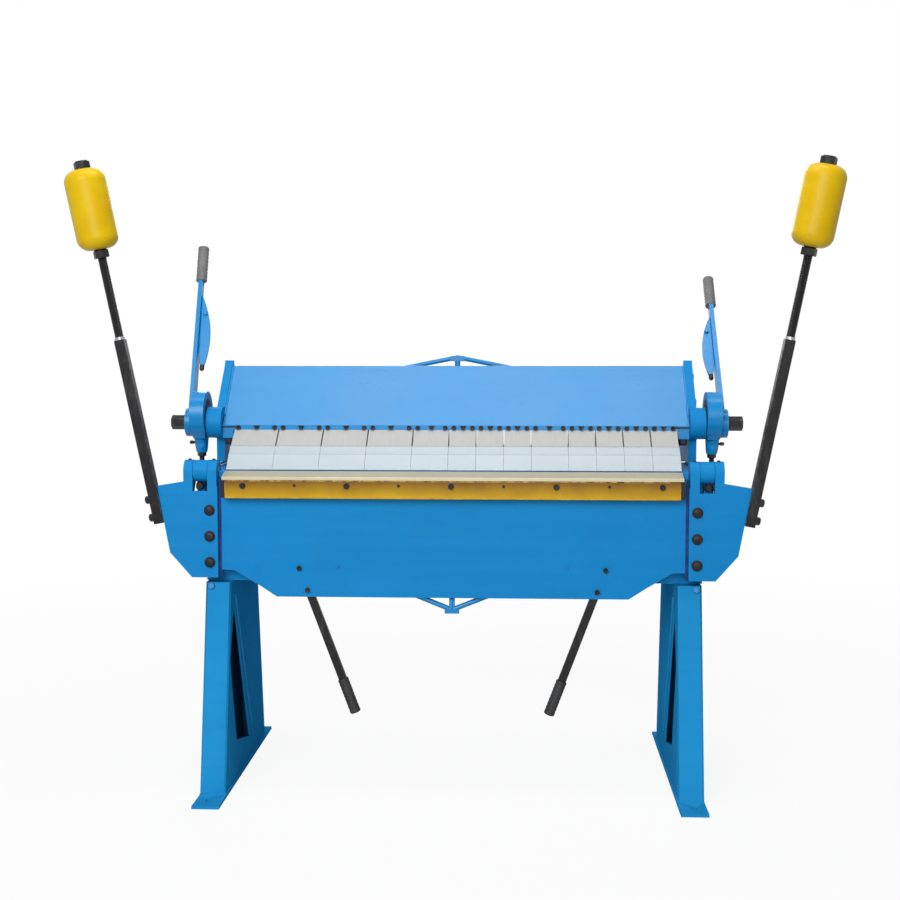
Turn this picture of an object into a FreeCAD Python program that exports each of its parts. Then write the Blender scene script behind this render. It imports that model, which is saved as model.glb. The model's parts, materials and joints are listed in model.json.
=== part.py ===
import FreeCAD, Part
import math
import os

V = FreeCAD.Vector

# Manual box-and-pan folder. +X to the operator's right, +Y to the back, +Z up, millimetres.
# Y is measured from the bend line; the finished pieces are moved so that the origin lies on
# the floor at the centre of the four foot holes.

# ---- fits
RUN = 0.05             # radial running clearance of a pin in its bore
SIDE = 1.0             # side gap between neighbouring swinging parts
LINK_PLAY = 2.5        # radial play of the tie rod's cross pin in its anchor

# ---- fingers and bed
INCH = 25.4
FINGER_INCHES = (5, 5, 5, 5, 4, 3, 3, 3, 4, 3, 3, 3, 3)
ROW_HALF = sum(FINGER_INCHES) * INCH / 2
FINGER_GAP = 0.4
FINGER_RISE = 104.0
FINGER_REACH = 127.0
FINGER_BACK = 165.0
FINGER_STEP = 5.0
FINGER_LEDGE = 2.5
FINGER_RELIEF = 1.5    # each side of a finger's upper part stands back by this much
FINGER_SETBACK = 10.0   # nose behind the bend line, so that the blade can pass it at full swing
FINGER_NOSE = 3.0
SHEET_GAP = 1.6
BED_Z = 878.0          # bend line height
BED_TOP_T = 20.0
BED_WALL_T = 12.0
BED_DEPTH = 320.0
BED_FRONT_Y = 30.0
LEG_TOP_Z = BED_Z - 308.0

# ---- end frames
BEAM_HALF = ROW_HALF + 34.7
BEAM_END_T = 23.0
BEAM_END_GAP = 3.0
FRAME_IN_X = BEAM_HALF + BEAM_END_T + BEAM_END_GAP
FRAME_T = 20.0
FRAME_LIFT = 22.0      # lower edge of an end frame above the bed's underside
KNUCKLE_IN_X = FRAME_IN_X - 16.0
KNUCKLE_OUT_X = FRAME_IN_X + FRAME_T + 3.0
KNUCKLE_R = 29.5
HINGE_PIN_R = 10.0
PIVOT_Y = 430.0
PIVOT_RISE = 27.0
PIVOT_PIN_R = 12.0
PIVOT_LUG_R = 36.0

# ---- legs
LEG_IN_X = FRAME_IN_X - 75.0
LEG_WIDTH = 70.0
LEG_T = 5.0
LEG_CAP_T = 20.0
LEG_FRONT_TOP_Y = -7.0
LEG_FRONT_FOOT_Y = -113.0
LEG_REAR_TOP_Y = 375.0
LEG_REAR_FOOT_Y = 475.0
LEG_BOLT_Y = (70.0, 300.0)
FOOT_T = 8.0
FOOT_FRONT_Y = -212.0
FOOT_REAR_Y = 570.0
FOOT_HOLE_R = 8.0
FOOT_HOLE_FRONT_Y = -164.0
FOOT_HOLE_REAR_Y = 530.0
FOOT_CENTRE_Y = (FOOT_HOLE_FRONT_Y + FOOT_HOLE_REAR_Y) / 2

# ---- apron
WING_FRONT_Y = -30.0
WING_T = 14.0
APRON_T = 12.0
APRON_BOTTOM_Z = BED_Z - 345.0
APRON_CORNER_Z = BED_Z - 272.0
APRON_TOP_Z = BED_Z - 21.0
APRON_NECK_Z = BED_Z - 54.0
EAR_R = 30.0
EAR_T = 25.0
EAR_SCREW_R = 5.0
EAR_SCREW_PROUD = 3.0
WING_IN_X = KNUCKLE_IN_X - SIDE - EAR_T
WING_W = 164.0
WING_OUT_X = WING_IN_X + WING_W
WING_BOLT_DROP = 106.0
WING_BOLT_PITCH = 71.5
APRON_HALF = WING_IN_X + 39.0
APRON_CUT_LOW = 200.0
APRON_CUT_MID = 152.0
APRON_CUT_TOP = 81.0
APRON_CUT_RISE = 31.0
WING_SHOULDER_Z = BED_Z - 28.0
WING_TOP_OUT_Z = BED_Z - 40.0
WING_BOTTOM_Z = BED_Z - 291.0
WING_BEVEL_Z = BED_Z - 223.0
WING_SLOPE = 10.5      # degrees, outer edge and balance arms
BLADE_HALF = WING_IN_X - 7.0
BLADE_DEPTH = 52.0
BLADE_T = 20.0
BLADE_DROP = 12.0
BLADE_LAND = 8.0
NOSE_BAR_HALF = BLADE_HALF - 20.0
NOSE_BAR_H = 50.0
NOSE_SCREW_R = 8.0
NOSE_SCREW_PITCH = (NOSE_BAR_HALF - 49.0) / 2

# ---- apron handles
HANDLE_TOP_X = 421.0
HANDLE_TOP_Z = BED_Z - 256.0
HANDLE_END_X = 266.0
HANDLE_END_Z = BED_Z - 669.0
HANDLE_W = 22.0
HANDLE_T = 12.0
HANDLE_GRIP_R = 15.0
HANDLE_GRIP_L = 100.0

# ---- balance arms
ARM_SIZE = 28.0
ARM_BOTTOM_Z = BED_Z - 140.0
ARM_LENGTH = 510.0
ARM_LEAN = 4.0         # degrees towards the operator
ROD_R = 12.0
ROD_LENGTH = 245.0
COLLAR_R = 21.0
COLLAR_H = 23.0
WEIGHT_R = 55.5
WEIGHT_H = 214.0
WEIGHT_EDGE = 33.0
STUB_R = 22.0
STUB_H = 22.0

# ---- clamping beam
BEAM_T = 10.0
FACE_LOW_Y = 135.0
FACE_LOW_Z = BED_Z + 120.0
FACE_TOP_Y = 287.0
FACE_TOP_Z = BED_Z + 284.0
BEAM_REAR_Y = 352.0
CLAMP_BAR_T = 13.0
BEAM_WEB_Z = BED_Z + 12.0

# ---- eccentric clamps
SHAFT_Y = 150.0
SHAFT_Z = BED_Z + 125.0
SHAFT_R = 16.0
BOSS_R = 44.0
BOSS_OUT_X = FRAME_IN_X + FRAME_T - 3.0
ECC_OFFSET = 22.0
ECC_R = 46.0
STRAP_IN_X = BOSS_OUT_X + 2.0
STRAP_W = 40.0
STRAP_R = 66.0
STEM_END_Z = SHAFT_Z - 85.0
TIE_R = 7.5
TIE_PIN_Z = SHAFT_Z - 243.0
TIE_PIN_R = 8.0
HUB_T = 18.0
HUB_R = 40.0
HEX_AF = 36.0
HEX_L = 43.0
LEVER_W = 34.0
LEVER_T = 12.0
LEVER_LENGTH = 540.0
LEVER_GRIP_L = 108.0
LEVER_GRIP_R = 16.0
LEVER_LEAN = {"left": 20.0, "right": 39.0}
LEAF_DROP = 42.0       # top of the leaf below the grip
LEAF_LENGTH = 218.0
LEAF_BELLY = 30.0      # greatest width of the leaf
LEAF_T = 8.0
LOCK_R = 5.0

SIDES = {"left": -1, "right": 1}


# ---- helpers
def block(x0, x1, y0, y1, z0, z1):
    return Part.makeBox(x1 - x0, y1 - y0, z1 - z0, V(x0, y0, z0))


def plate_yz(points, x0, x1):
    """A plate whose outline is given as (y, z) points."""
    wire = Part.makePolygon([V(x0, y, z) for y, z in points + [points[0]]])
    return Part.Face(wire).extrude(V(x1 - x0, 0, 0))


def plate_xz(points, y0, y1):
    """A plate whose outline is given as (x, z) points."""
    wire = Part.makePolygon([V(x, y0, z) for x, z in points + [points[0]]])
    return Part.Face(wire).extrude(V(0, y1 - y0, 0))


def long_edges(shape, length):
    return [edge for edge in shape.Edges if edge.Length > length]


def rod(start, end, radius):
    axis = end - start
    return Part.makeCylinder(radius, axis.Length, start, axis)


def rod_x(y, z, radius, x0, x1):
    return Part.makeCylinder(radius, x1 - x0, V(x0, y, z), V(1, 0, 0))


def rod_y(x, z, radius, y0, y1):
    return Part.makeCylinder(radius, y1 - y0, V(x, y0, z), V(0, 1, 0))


def rod_z(x, y, radius, z0, z1):
    return Part.makeCylinder(radius, z1 - z0, V(x, y, z0), V(0, 0, 1))


def hexagon(start, axis, across_flats, length):
    """A hexagonal bar along an axis."""
    frame = FreeCAD.Placement(start, FreeCAD.Rotation(V(0, 0, 1), axis))
    radius = across_flats / math.sqrt(3)
    corners = []
    for i in range(7):
        angle = math.radians(60 * i)
        corners.append(V(radius * math.cos(angle), radius * math.sin(angle), 0))
    bar = Part.Face(Part.makePolygon(corners)).extrude(V(0, 0, length))
    bar.Placement = frame
    return bar


def fuse(first, *others):
    return first.multiFuse(list(others)).removeSplitter()


def mirror(shape):
    return shape.mirror(V(0, 0, 0), V(1, 0, 0))


def sided(shape, side):
    return shape if SIDES[side] > 0 else mirror(shape)


def both(shape):
    return [shape, mirror(shape)]


PARTS = {}


def keep(name, shapes):
    """Stores one node: a single solid or a group of separate ones."""
    shape = Part.makeCompound(shapes) if isinstance(shapes, list) else shapes
    shape.translate(V(0, -FOOT_CENTRE_Y, 0))
    PARTS[name] = shape


# ---- fixed frame
def bed():
    bottom = LEG_TOP_Z
    rear = BED_FRONT_Y + BED_DEPTH
    half = FRAME_IN_X
    top = block(-half, half, 0, rear - BED_WALL_T, BED_Z - BED_TOP_T, BED_Z)
    notch = block(KNUCKLE_IN_X - SIDE * 2, half, -1, KNUCKLE_R + SIDE, BED_Z - BED_TOP_T, BED_Z)
    lip = block(WING_IN_X - SIDE, half, -1, EAR_R + EAR_SCREW_PROUD + SIDE, BED_Z - BED_TOP_T, BED_Z)
    top = top.cut(notch).cut(mirror(notch)).cut(lip).cut(mirror(lip))
    front = block(-half, half, BED_FRONT_Y, BED_FRONT_Y + BED_WALL_T, bottom, BED_Z - BED_TOP_T)
    back = block(-half, half, rear - BED_WALL_T, rear, bottom, BED_Z)
    base = block(-half, half, BED_FRONT_Y, rear, bottom, bottom + BED_WALL_T)
    return fuse(top, front, back, base)


def pivot_z():
    return BED_Z + PIVOT_RISE


def end_frame():
    out = FRAME_IN_X + FRAME_T
    rear = PIVOT_Y + PIVOT_LUG_R * 0.6
    front = BED_FRONT_Y - 20
    low = LEG_TOP_Z + FRAME_LIFT
    outline = [
        (front, low), (front, BED_Z - KNUCKLE_R), (0, BED_Z + KNUCKLE_R * 0.6),
        (KNUCKLE_R, BED_Z + 4), (PIVOT_Y - 60, BED_Z + 4), (PIVOT_Y, pivot_z() + PIVOT_LUG_R),
        (rear, pivot_z()), (LEG_REAR_TOP_Y + 25, low + 98), (LEG_REAR_TOP_Y, low),
    ]
    plate = plate_yz(outline, FRAME_IN_X, out)
    knuckle = rod_x(0, BED_Z, KNUCKLE_R, KNUCKLE_IN_X, KNUCKLE_OUT_X)
    lug = rod_x(PIVOT_Y, pivot_z(), PIVOT_LUG_R, FRAME_IN_X, out)
    arm = block(KNUCKLE_IN_X, KNUCKLE_OUT_X, 0, BED_FRONT_Y, BED_Z - KNUCKLE_R * 0.8, BED_Z + 10)
    body = fuse(plate, knuckle, lug, arm)
    bore = rod_x(0, BED_Z, HINGE_PIN_R + RUN, KNUCKLE_IN_X - 1, KNUCKLE_OUT_X + 1)
    hole = rod_x(PIVOT_Y, pivot_z(), PIVOT_PIN_R, FRAME_IN_X - 1, out + 1)
    return body.cut(bore).cut(hole)


def tie_anchor():
    """Bracket on the outer face of an end frame that holds the tie rod's cross pin."""
    x0 = FRAME_IN_X + FRAME_T
    tie_x = STRAP_IN_X + STRAP_W / 2 - 1
    slot = TIE_PIN_R + 1.5
    body = block(x0, tie_x + 22, SHAFT_Y - 28, SHAFT_Y + 28, TIE_PIN_Z - 34, TIE_PIN_Z + 26)
    gap = block(tie_x - slot, tie_x + slot, SHAFT_Y - 30, SHAFT_Y + 30, TIE_PIN_Z - 22, TIE_PIN_Z + 30)
    hole = rod_x(SHAFT_Y, TIE_PIN_Z, TIE_PIN_R + LINK_PLAY, x0 - 1, tie_x + 23)
    return body.cut(gap).cut(hole)


def leg():
    """Folded-plate leg with a tall triangular window in its inner side."""
    x0 = LEG_IN_X
    x1 = LEG_IN_X + LEG_WIDTH
    outline = [
        (LEG_FRONT_TOP_Y, LEG_TOP_Z), (LEG_FRONT_FOOT_Y, FOOT_T),
        (LEG_REAR_FOOT_Y, FOOT_T), (LEG_REAR_TOP_Y, LEG_TOP_Z),
    ]
    shell = plate_yz(outline, x0, x1)
    slants = [edge for edge in shell.Edges if abs(edge.tangentAt(0).z) > 0.5]
    shell = shell.makeFillet(LEG_T, slants)
    slack = LEG_T * 1.02
    inner = [
        (LEG_FRONT_TOP_Y + slack, LEG_TOP_Z - LEG_CAP_T), (LEG_FRONT_FOOT_Y + slack, FOOT_T),
        (LEG_REAR_FOOT_Y - slack, FOOT_T), (LEG_REAR_TOP_Y - slack, LEG_TOP_Z - LEG_CAP_T),
    ]
    shell = shell.cut(plate_yz(inner, x0 + LEG_T, x1 - LEG_T))
    window = [(28, LEG_TOP_Z - 70), (45, 95), (205, 82)]
    shell = shell.cut(plate_yz(window, x0 - 1, x0 + LEG_T + 1))
    foot = block(x0 - 3, x1, FOOT_FRONT_Y, FOOT_REAR_Y, 0, FOOT_T)
    mid_x = (x0 + x1) / 2
    for y in (FOOT_HOLE_FRONT_Y, FOOT_HOLE_REAR_Y):
        foot = foot.cut(rod_z(mid_x, y, FOOT_HOLE_R, -1, FOOT_T + 1))
    return fuse(shell, foot)


def leg_bolts():
    """One cap bolt in the top of each leg's front flange and two through its top cap."""
    solids = []
    head_x = LEG_IN_X + LEG_WIDTH - 16
    z = LEG_TOP_Z - LEG_CAP_T / 2
    fall = V(0, LEG_FRONT_FOOT_Y - LEG_FRONT_TOP_Y, FOOT_T - LEG_TOP_Z)
    outward = V(0, fall.z, -fall.y)
    seat_y = LEG_FRONT_TOP_Y + fall.y * (z - LEG_TOP_Z) / fall.z
    solids += both(hexagon(V(head_x, seat_y, z), outward, 17, 8))
    for y in LEG_BOLT_Y:
        x = LEG_IN_X + LEG_WIDTH / 2
        head = hexagon(V(x, y, LEG_TOP_Z + BED_WALL_T), V(0, 0, 1), 19, 8)
        solids += both(head)
    return solids


# ---- apron
def wing():
    """End casting of the apron with two clevis ears around the fixed knuckle."""
    y0 = WING_FRONT_Y
    y1 = WING_FRONT_Y + WING_T
    slope = math.tan(math.radians(WING_SLOPE))
    low_out = WING_OUT_X - (WING_TOP_OUT_Z - WING_BEVEL_Z) * slope
    ear_in = KNUCKLE_IN_X - SIDE
    ear_out = KNUCKLE_OUT_X + SIDE
    outline = [
        (WING_IN_X, BED_Z), (ear_in, BED_Z), (ear_in, APRON_NECK_Z), (ear_out, APRON_NECK_Z),
        (ear_out, BED_Z), (ear_out + EAR_T, BED_Z), (ear_out + EAR_T, WING_SHOULDER_Z),
        (WING_OUT_X, WING_TOP_OUT_Z), (low_out, WING_BEVEL_Z),
        (low_out - 60, WING_BOTTOM_Z), (WING_IN_X - 2, WING_BOTTOM_Z), (WING_IN_X - 2, BED_Z - 40),
        (WING_IN_X, BED_Z - 40),
    ]
    body = plate_xz(outline, y0, y1)
    ears = []
    for x in (WING_IN_X, ear_out):
        x_end = ear_in if x == WING_IN_X else ear_out + EAR_T
        ears.append(rod_x(0, BED_Z, EAR_R, x, x_end))
        ears.append(plate_yz([(y0, BED_Z), (y0, APRON_NECK_Z - 16), (y1, APRON_NECK_Z - 16),
                              (EAR_R * 0.9, BED_Z - EAR_R * 0.4), (0, BED_Z)], x, x_end))
    body = fuse(body, *ears)
    bore = rod_x(0, BED_Z, HINGE_PIN_R, WING_IN_X - 1, ear_out + EAR_T + 1)
    body = body.cut(bore)
    for x in ear_screw_places():
        body = body.cut(rod_z(x, 0, EAR_SCREW_R, BED_Z, BED_Z + EAR_R + 1))
    for z in wing_bolt_heights():
        body = body.cut(rod_y(wing_bolt_x(), z, 6.0, y0 - 1, y1 + 1))
    return body


def wing_bolt_heights():
    return [BED_Z - WING_BOLT_DROP - i * WING_BOLT_PITCH for i in range(3)]


def wing_bolt_x():
    return WING_IN_X + 20.0


def apron_plate():
    y0 = WING_FRONT_Y + WING_T
    half = APRON_HALF
    neck = WING_IN_X - 4
    right = [
        (half - APRON_CUT_LOW, APRON_BOTTOM_Z), (half - APRON_CUT_MID, APRON_BOTTOM_Z + APRON_CUT_RISE),
        (half - APRON_CUT_TOP, APRON_CORNER_Z),
        (half, APRON_CORNER_Z),
        (half, APRON_NECK_Z - 18), (neck, APRON_NECK_Z - 18), (neck, APRON_TOP_Z),
    ]
    left = [(-x, z) for x, z in reversed(right)]
    plate = plate_xz(right + left, y0, y0 + APRON_T)
    for z in wing_bolt_heights():
        hole = rod_y(wing_bolt_x(), z, 6.0, y0 - 1, y0 + APRON_T + 1)
        plate = plate.cut(hole).cut(mirror(hole))
    return plate


def apron_back_y():
    return WING_FRONT_Y + WING_T + APRON_T


def blade():
    """Machined folding blade along the top of the apron, falling towards the operator."""
    top = BED_Z
    rear = -0.8
    outline = [
        (rear, top), (-BLADE_LAND, top), (-BLADE_DEPTH, top - BLADE_DROP),
        (-BLADE_DEPTH, top - BLADE_T - 1), (rear, top - BLADE_T - 1),
    ]
    return plate_yz(outline, -BLADE_HALF, BLADE_HALF)


def nose_bar():
    top = BED_Z - BLADE_T - 1
    y1 = WING_FRONT_Y + WING_T
    y0 = -BLADE_DEPTH
    bar = block(-NOSE_BAR_HALF, NOSE_BAR_HALF, y0, y1, top - NOSE_BAR_H, top)
    edges = [e for e in bar.Edges if abs(e.CenterOfMass.y - y0) < 0.01 and e.Length > NOSE_BAR_HALF]
    return bar.makeChamfer(2.0, edges)


def nose_screws():
    """Five large socket screws and four small ones along the nose bar."""
    solids = []
    z = BED_Z - 36.0
    y = -BLADE_DEPTH
    for i in range(-2, 3):
        head = rod_y(i * NOSE_SCREW_PITCH, z, NOSE_SCREW_R, y - 6, y)
        socket = hexagon(V(i * NOSE_SCREW_PITCH, y - 7, z), V(0, 1, 0), 8, 5)
        solids.append(head.cut(socket))
    for i in (-1.5, -0.5, 0.5, 1.5):
        solids.append(rod_y(i * NOSE_SCREW_PITCH, z + 1, 4.0, y - 1.5, y))
    return solids


def wing_bolts():
    """Cap bolts that pass through each wing into the apron plate."""
    solids = []
    y = WING_FRONT_Y
    for z in wing_bolt_heights():
        head = hexagon(V(wing_bolt_x(), y, z), V(0, -1, 0), 22, 11)
        washer = rod_y(wing_bolt_x(), z, 15.0, y - 2.5, y)
        shank = rod_y(wing_bolt_x(), z, 5.9, y, apron_back_y())
        solids += both(fuse(head, washer, shank))
    return solids


def ear_screw_places():
    ear_in = KNUCKLE_IN_X - SIDE
    ear_out = KNUCKLE_OUT_X + SIDE
    return ((WING_IN_X + ear_in) / 2, ear_out + EAR_T / 2)


def ear_screws():
    """Set screws in the crown of each ear that lock the hinge pin."""
    solids = []
    for x in ear_screw_places():
        solids += both(rod_z(x, 0, EAR_SCREW_R, BED_Z + HINGE_PIN_R, BED_Z + EAR_R + EAR_SCREW_PROUD))
    return solids


def truss(z_apex, slope, half, y, radius, up):
    """Truss rod bent over a centre post, with its ends held by lugs."""
    apex = V(0, y, z_apex)
    end = V(half, y, z_apex - up * slope * half)
    bar = rod(apex, end, radius)
    ball = Part.makeSphere(radius, apex)
    return fuse(bar, mirror(bar), ball)


def apron_truss():
    y = apron_back_y() + 9
    half = APRON_HALF - 120
    apex_z = APRON_BOTTOM_Z - 36
    slope = 0.4
    bars = truss(apex_z, slope, half, y, 7.0, -1)
    post = rod_z(0, y, 8.0, apex_z, APRON_BOTTOM_Z + 60)
    cap = block(-20, 20, y - 9, y + 9, apex_z - 9, apex_z + 3)
    foot = block(-22, 22, apron_back_y(), y + 8, APRON_BOTTOM_Z + 40, APRON_BOTTOM_Z + 70)
    end_z = apex_z + slope * half
    lug = block(half - 26, half + 12, apron_back_y(), y + 9, end_z - 22, end_z + 12)
    return fuse(bars, post, cap, foot, lug, mirror(lug))


def handle_axis():
    start = V(HANDLE_TOP_X, 0, HANDLE_TOP_Z)
    end = V(HANDLE_END_X, 0, HANDLE_END_Z)
    return start, end


def handle_bar():
    """Flat bar bolted behind the apron plate, leaning inwards."""
    start, end = handle_axis()
    y0 = apron_back_y()
    along = end - start
    along.normalize()
    side = V(along.z, 0, -along.x) * (HANDLE_W / 2)
    grip_start = end - along * HANDLE_GRIP_L
    points = [start + side, grip_start + side, grip_start - side, start - side]
    bar = plate_xz([(p.x, p.z) for p in points], y0, y0 + HANDLE_T)
    head = rod_y(start.x, start.z, HANDLE_W / 2, y0, y0 + HANDLE_T)
    mid = V(0, y0 + HANDLE_T / 2, 0)
    core = rod(grip_start + mid, end + mid - along * 4, HANDLE_GRIP_R - 8)
    return fuse(bar, head, core)


def handle_grip():
    start, end = handle_axis()
    along = end - start
    along.normalize()
    mid = V(0, apron_back_y() + HANDLE_T / 2, 0)
    grip_start = end - along * HANDLE_GRIP_L
    sleeve = rod(grip_start + mid, end + mid, HANDLE_GRIP_R)
    sleeve = sleeve.makeFillet(4.0, [e for e in sleeve.Edges if e.Curve.TypeId == "Part::GeomCircle"])
    core = rod(grip_start + mid - along * 2, end + mid - along * 4, HANDLE_GRIP_R - 8)
    return sleeve.cut(core)


def handle_bolts():
    """Two cap bolts per handle and one small screw near each, on the apron's face."""
    solids = []
    start, end = handle_axis()
    along = end - start
    along.normalize()
    y = WING_FRONT_Y + WING_T
    for distance in (10.0, 74.0):
        p = start + along * distance
        solids += both(hexagon(V(p.x, y, p.z), V(0, -1, 0), 17, 8))
    solids += both(rod_y(start.x - 108.5, start.z - 5.5, 4.0, y - 3, y))
    return solids


def arm_frame():
    """Foot point and direction of a balance arm, along the wing's outer edge."""
    slope = math.radians(WING_SLOPE)
    lean = math.radians(ARM_LEAN)
    direction = V(math.sin(slope), -math.tan(lean) * math.cos(slope), math.cos(slope))
    direction.normalize()
    edge_x = WING_OUT_X - (WING_TOP_OUT_Z - ARM_BOTTOM_Z) * math.tan(slope)
    outward = V(math.cos(slope), 0, -math.sin(slope))
    foot = V(edge_x, WING_FRONT_Y + WING_T / 2 + 4, ARM_BOTTOM_Z) + outward * (ARM_SIZE / 2)
    return foot, direction, outward


def square_bar(foot, direction, outward, size, length):
    third = direction.cross(outward)
    third.normalize()
    h = size / 2
    corners = [foot + outward * (a * h) + third * (b * h)
               for a, b in ((-1, -1), (1, -1), (1, 1), (-1, 1), (-1, -1))]
    return Part.Face(Part.makePolygon(corners)).extrude(direction * length)


def balance_arm():
    foot, direction, outward = arm_frame()
    bar = square_bar(foot, direction, outward, ARM_SIZE, ARM_LENGTH)
    socket = rod(foot + direction * (ARM_LENGTH - 60), foot + direction * (ARM_LENGTH + 1), ROD_R)
    return bar.cut(socket)


def balance_rod():
    foot, direction, _ = arm_frame()
    start = foot + direction * (ARM_LENGTH - 60)
    end = foot + direction * (ARM_LENGTH + ROD_LENGTH + WEIGHT_H + STUB_H)
    return rod(start, end, ROD_R)


def balance_collar():
    foot, direction, _ = arm_frame()
    at = foot + direction * (ARM_LENGTH + ROD_LENGTH - COLLAR_H)
    ring = rod(at, at + direction * COLLAR_H, COLLAR_R)
    hole = rod(at - direction, at + direction * (COLLAR_H + 1), ROD_R)
    top = at + direction * (COLLAR_H + WEIGHT_H)
    nut = rod(top, top + direction * STUB_H, STUB_R)
    nut = nut.cut(rod(top - direction, top + direction * (STUB_H + 1), ROD_R))
    return [ring.cut(hole), nut]


def counterweight():
    foot, direction, _ = arm_frame()
    at = foot + direction * (ARM_LENGTH + ROD_LENGTH)
    body = rod(at, at + direction * WEIGHT_H, WEIGHT_R)
    body = body.makeFillet(WEIGHT_EDGE, [e for e in body.Edges if e.Curve.TypeId == "Part::GeomCircle"])
    return body.cut(rod(at - direction, at + direction * (WEIGHT_H + 1), ROD_R))


def arm_bolts():
    solids = []
    foot, direction, outward = arm_frame()
    for distance in (18.0, 68.0):
        p = foot + direction * distance + outward * (ARM_SIZE / 2)
        solids += both(hexagon(p, outward, 19, 12))
    return solids


def hinge_pins():
    ear_out = KNUCKLE_OUT_X + SIDE + EAR_T
    return both(rod_x(0, BED_Z, HINGE_PIN_R, WING_IN_X, ear_out))


# ---- clamping beam
def face_slope():
    return math.atan2(FACE_TOP_Z - FACE_LOW_Z, FACE_TOP_Y - FACE_LOW_Y)


def finger_top_z():
    return BED_Z + SHEET_GAP + FINGER_RISE


def beam_outline():
    low = finger_top_z() + CLAMP_BAR_T
    ridge_y = FACE_TOP_Y + 14
    return [(FACE_LOW_Y, low), (FACE_TOP_Y, FACE_TOP_Z), (ridge_y, FACE_TOP_Z), (BEAM_REAR_Y, low)]


def beam_shell():
    half = BEAM_HALF
    low = finger_top_z() + CLAMP_BAR_T
    angle = face_slope()
    ny = BEAM_T * math.sin(angle)
    nz = BEAM_T * math.cos(angle)
    inner = [(FACE_LOW_Y + 2.2 * ny, low + BEAM_T), (FACE_TOP_Y + 1, FACE_TOP_Z - 2.2 * nz),
             (FACE_TOP_Y + 8, FACE_TOP_Z - 2.2 * nz), (BEAM_REAR_Y - 1.3 * BEAM_T, low + BEAM_T)]
    solid = plate_yz(beam_outline(), -half, half)
    ridge = [edge for edge in long_edges(solid, half) if edge.CenterOfMass.z > low + 1]
    shell = solid.makeFillet(BEAM_T / 2, ridge).cut(plate_yz(inner, -half - 1, half + 1))
    clamp_bar = block(-half, half, FINGER_REACH, FINGER_REACH + 120, finger_top_z(), low)
    return fuse(shell, clamp_bar)


def beam_end():
    x0 = BEAM_HALF
    x1 = BEAM_HALF + BEAM_END_T
    proud = 10.0
    outline = [
        (FACE_LOW_Y - proud, FACE_LOW_Z), (FACE_TOP_Y - proud, FACE_TOP_Z), (FACE_TOP_Y - 1, FACE_TOP_Z + 16),
        (FACE_TOP_Y + 16, FACE_TOP_Z + 16), (BEAM_REAR_Y, SHAFT_Z), (PIVOT_Y + 10, pivot_z() + 30),
        (PIVOT_Y - 5, pivot_z() - 30), (BED_FRONT_Y + BED_DEPTH + 10, BEAM_WEB_Z), (SHAFT_Y + 10, BEAM_WEB_Z),
        (SHAFT_Y + 10, SHAFT_Z - BOSS_R), (SHAFT_Y - 10, SHAFT_Z - BOSS_R),
    ]
    plate = plate_yz(outline, x0, x1)
    boss = rod_x(SHAFT_Y, SHAFT_Z, BOSS_R, x0, BOSS_OUT_X)
    eye = rod_x(PIVOT_Y, pivot_z(), 31.0, x0, x1)
    body = fuse(plate, boss, eye)
    body = body.cut(rod_x(SHAFT_Y, SHAFT_Z, SHAFT_R + RUN, x0 - 1, BOSS_OUT_X + 1))
    return body.cut(rod_x(PIVOT_Y, pivot_z(), PIVOT_PIN_R + RUN, x0 - 1, x1 + 1))


def pivot_pins():
    return both(rod_x(PIVOT_Y, pivot_z(), PIVOT_PIN_R, BEAM_HALF, FRAME_IN_X + FRAME_T + 8))


def finger(x0, x1):
    """Stepped finger; above its break it is a little narrower than its neighbours' pitch."""
    z0 = BED_Z + SHEET_GAP
    top = finger_top_z()
    lower_y = FINGER_REACH * 0.36
    upper_y = FINGER_REACH * 0.52
    step_z = z0 + FINGER_RISE * 0.42
    break_z = z0 + FINGER_RISE * 0.6
    outline = [
        (FINGER_SETBACK, z0), (FINGER_SETBACK, z0 + FINGER_NOSE),
        (lower_y, step_z), (lower_y + FINGER_STEP, step_z), (upper_y, break_z),
        (upper_y + FINGER_LEDGE, break_z), (FINGER_REACH, top),
        (FINGER_BACK, top), (FINGER_BACK - 15, top - 44), (95, z0 + 20), (95, z0),
    ]
    body = plate_yz(outline, x0, x1)
    for side in (x0, x1):
        relief = block(side - FINGER_RELIEF, side + FINGER_RELIEF, 0, FINGER_BACK + 1, break_z, top + 1)
        body = body.cut(relief)
    return body


def finger_edges():
    """Left and right X of each finger, from the left end of the row."""
    widths = [INCH * w for w in FINGER_INCHES]
    x = -ROW_HALF
    edges = []
    for width in widths:
        edges.append((x + FINGER_GAP / 2, x + width - FINGER_GAP / 2))
        x += width
    return edges


def finger_screws():
    """Centre bolt and two set screws of each finger, in the front of the clamp bar."""
    solids = []
    y = FINGER_REACH
    z = finger_top_z() + CLAMP_BAR_T / 2
    for x0, x1 in finger_edges():
        mid = (x0 + x1) / 2
        bolt = rod_y(mid, z, 5.0, y - 5, y)
        bar = block(mid - 8, mid + 8, y - 5, y, z + 2, z + 6)
        solids.append(fuse(bolt, bar))
        for x in (x0 + 12, x1 - 12):
            solids.append(rod_y(x, z, 5.5, y - 5, y))
    return solids


def beam_adjusters():
    """Block with an adjusting screw under each end of the clamp bar."""
    x0 = ROW_HALF + 3
    x1 = BEAM_HALF - 1
    y = FINGER_REACH
    z = finger_top_z() - 24
    body = block(x0, x1, y, y + 38, z, finger_top_z())
    head = hexagon(V((x0 + x1) / 2, y + 19, z - 8), V(0, 0, 1), 17, 8)
    return both(fuse(body, head))


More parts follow.
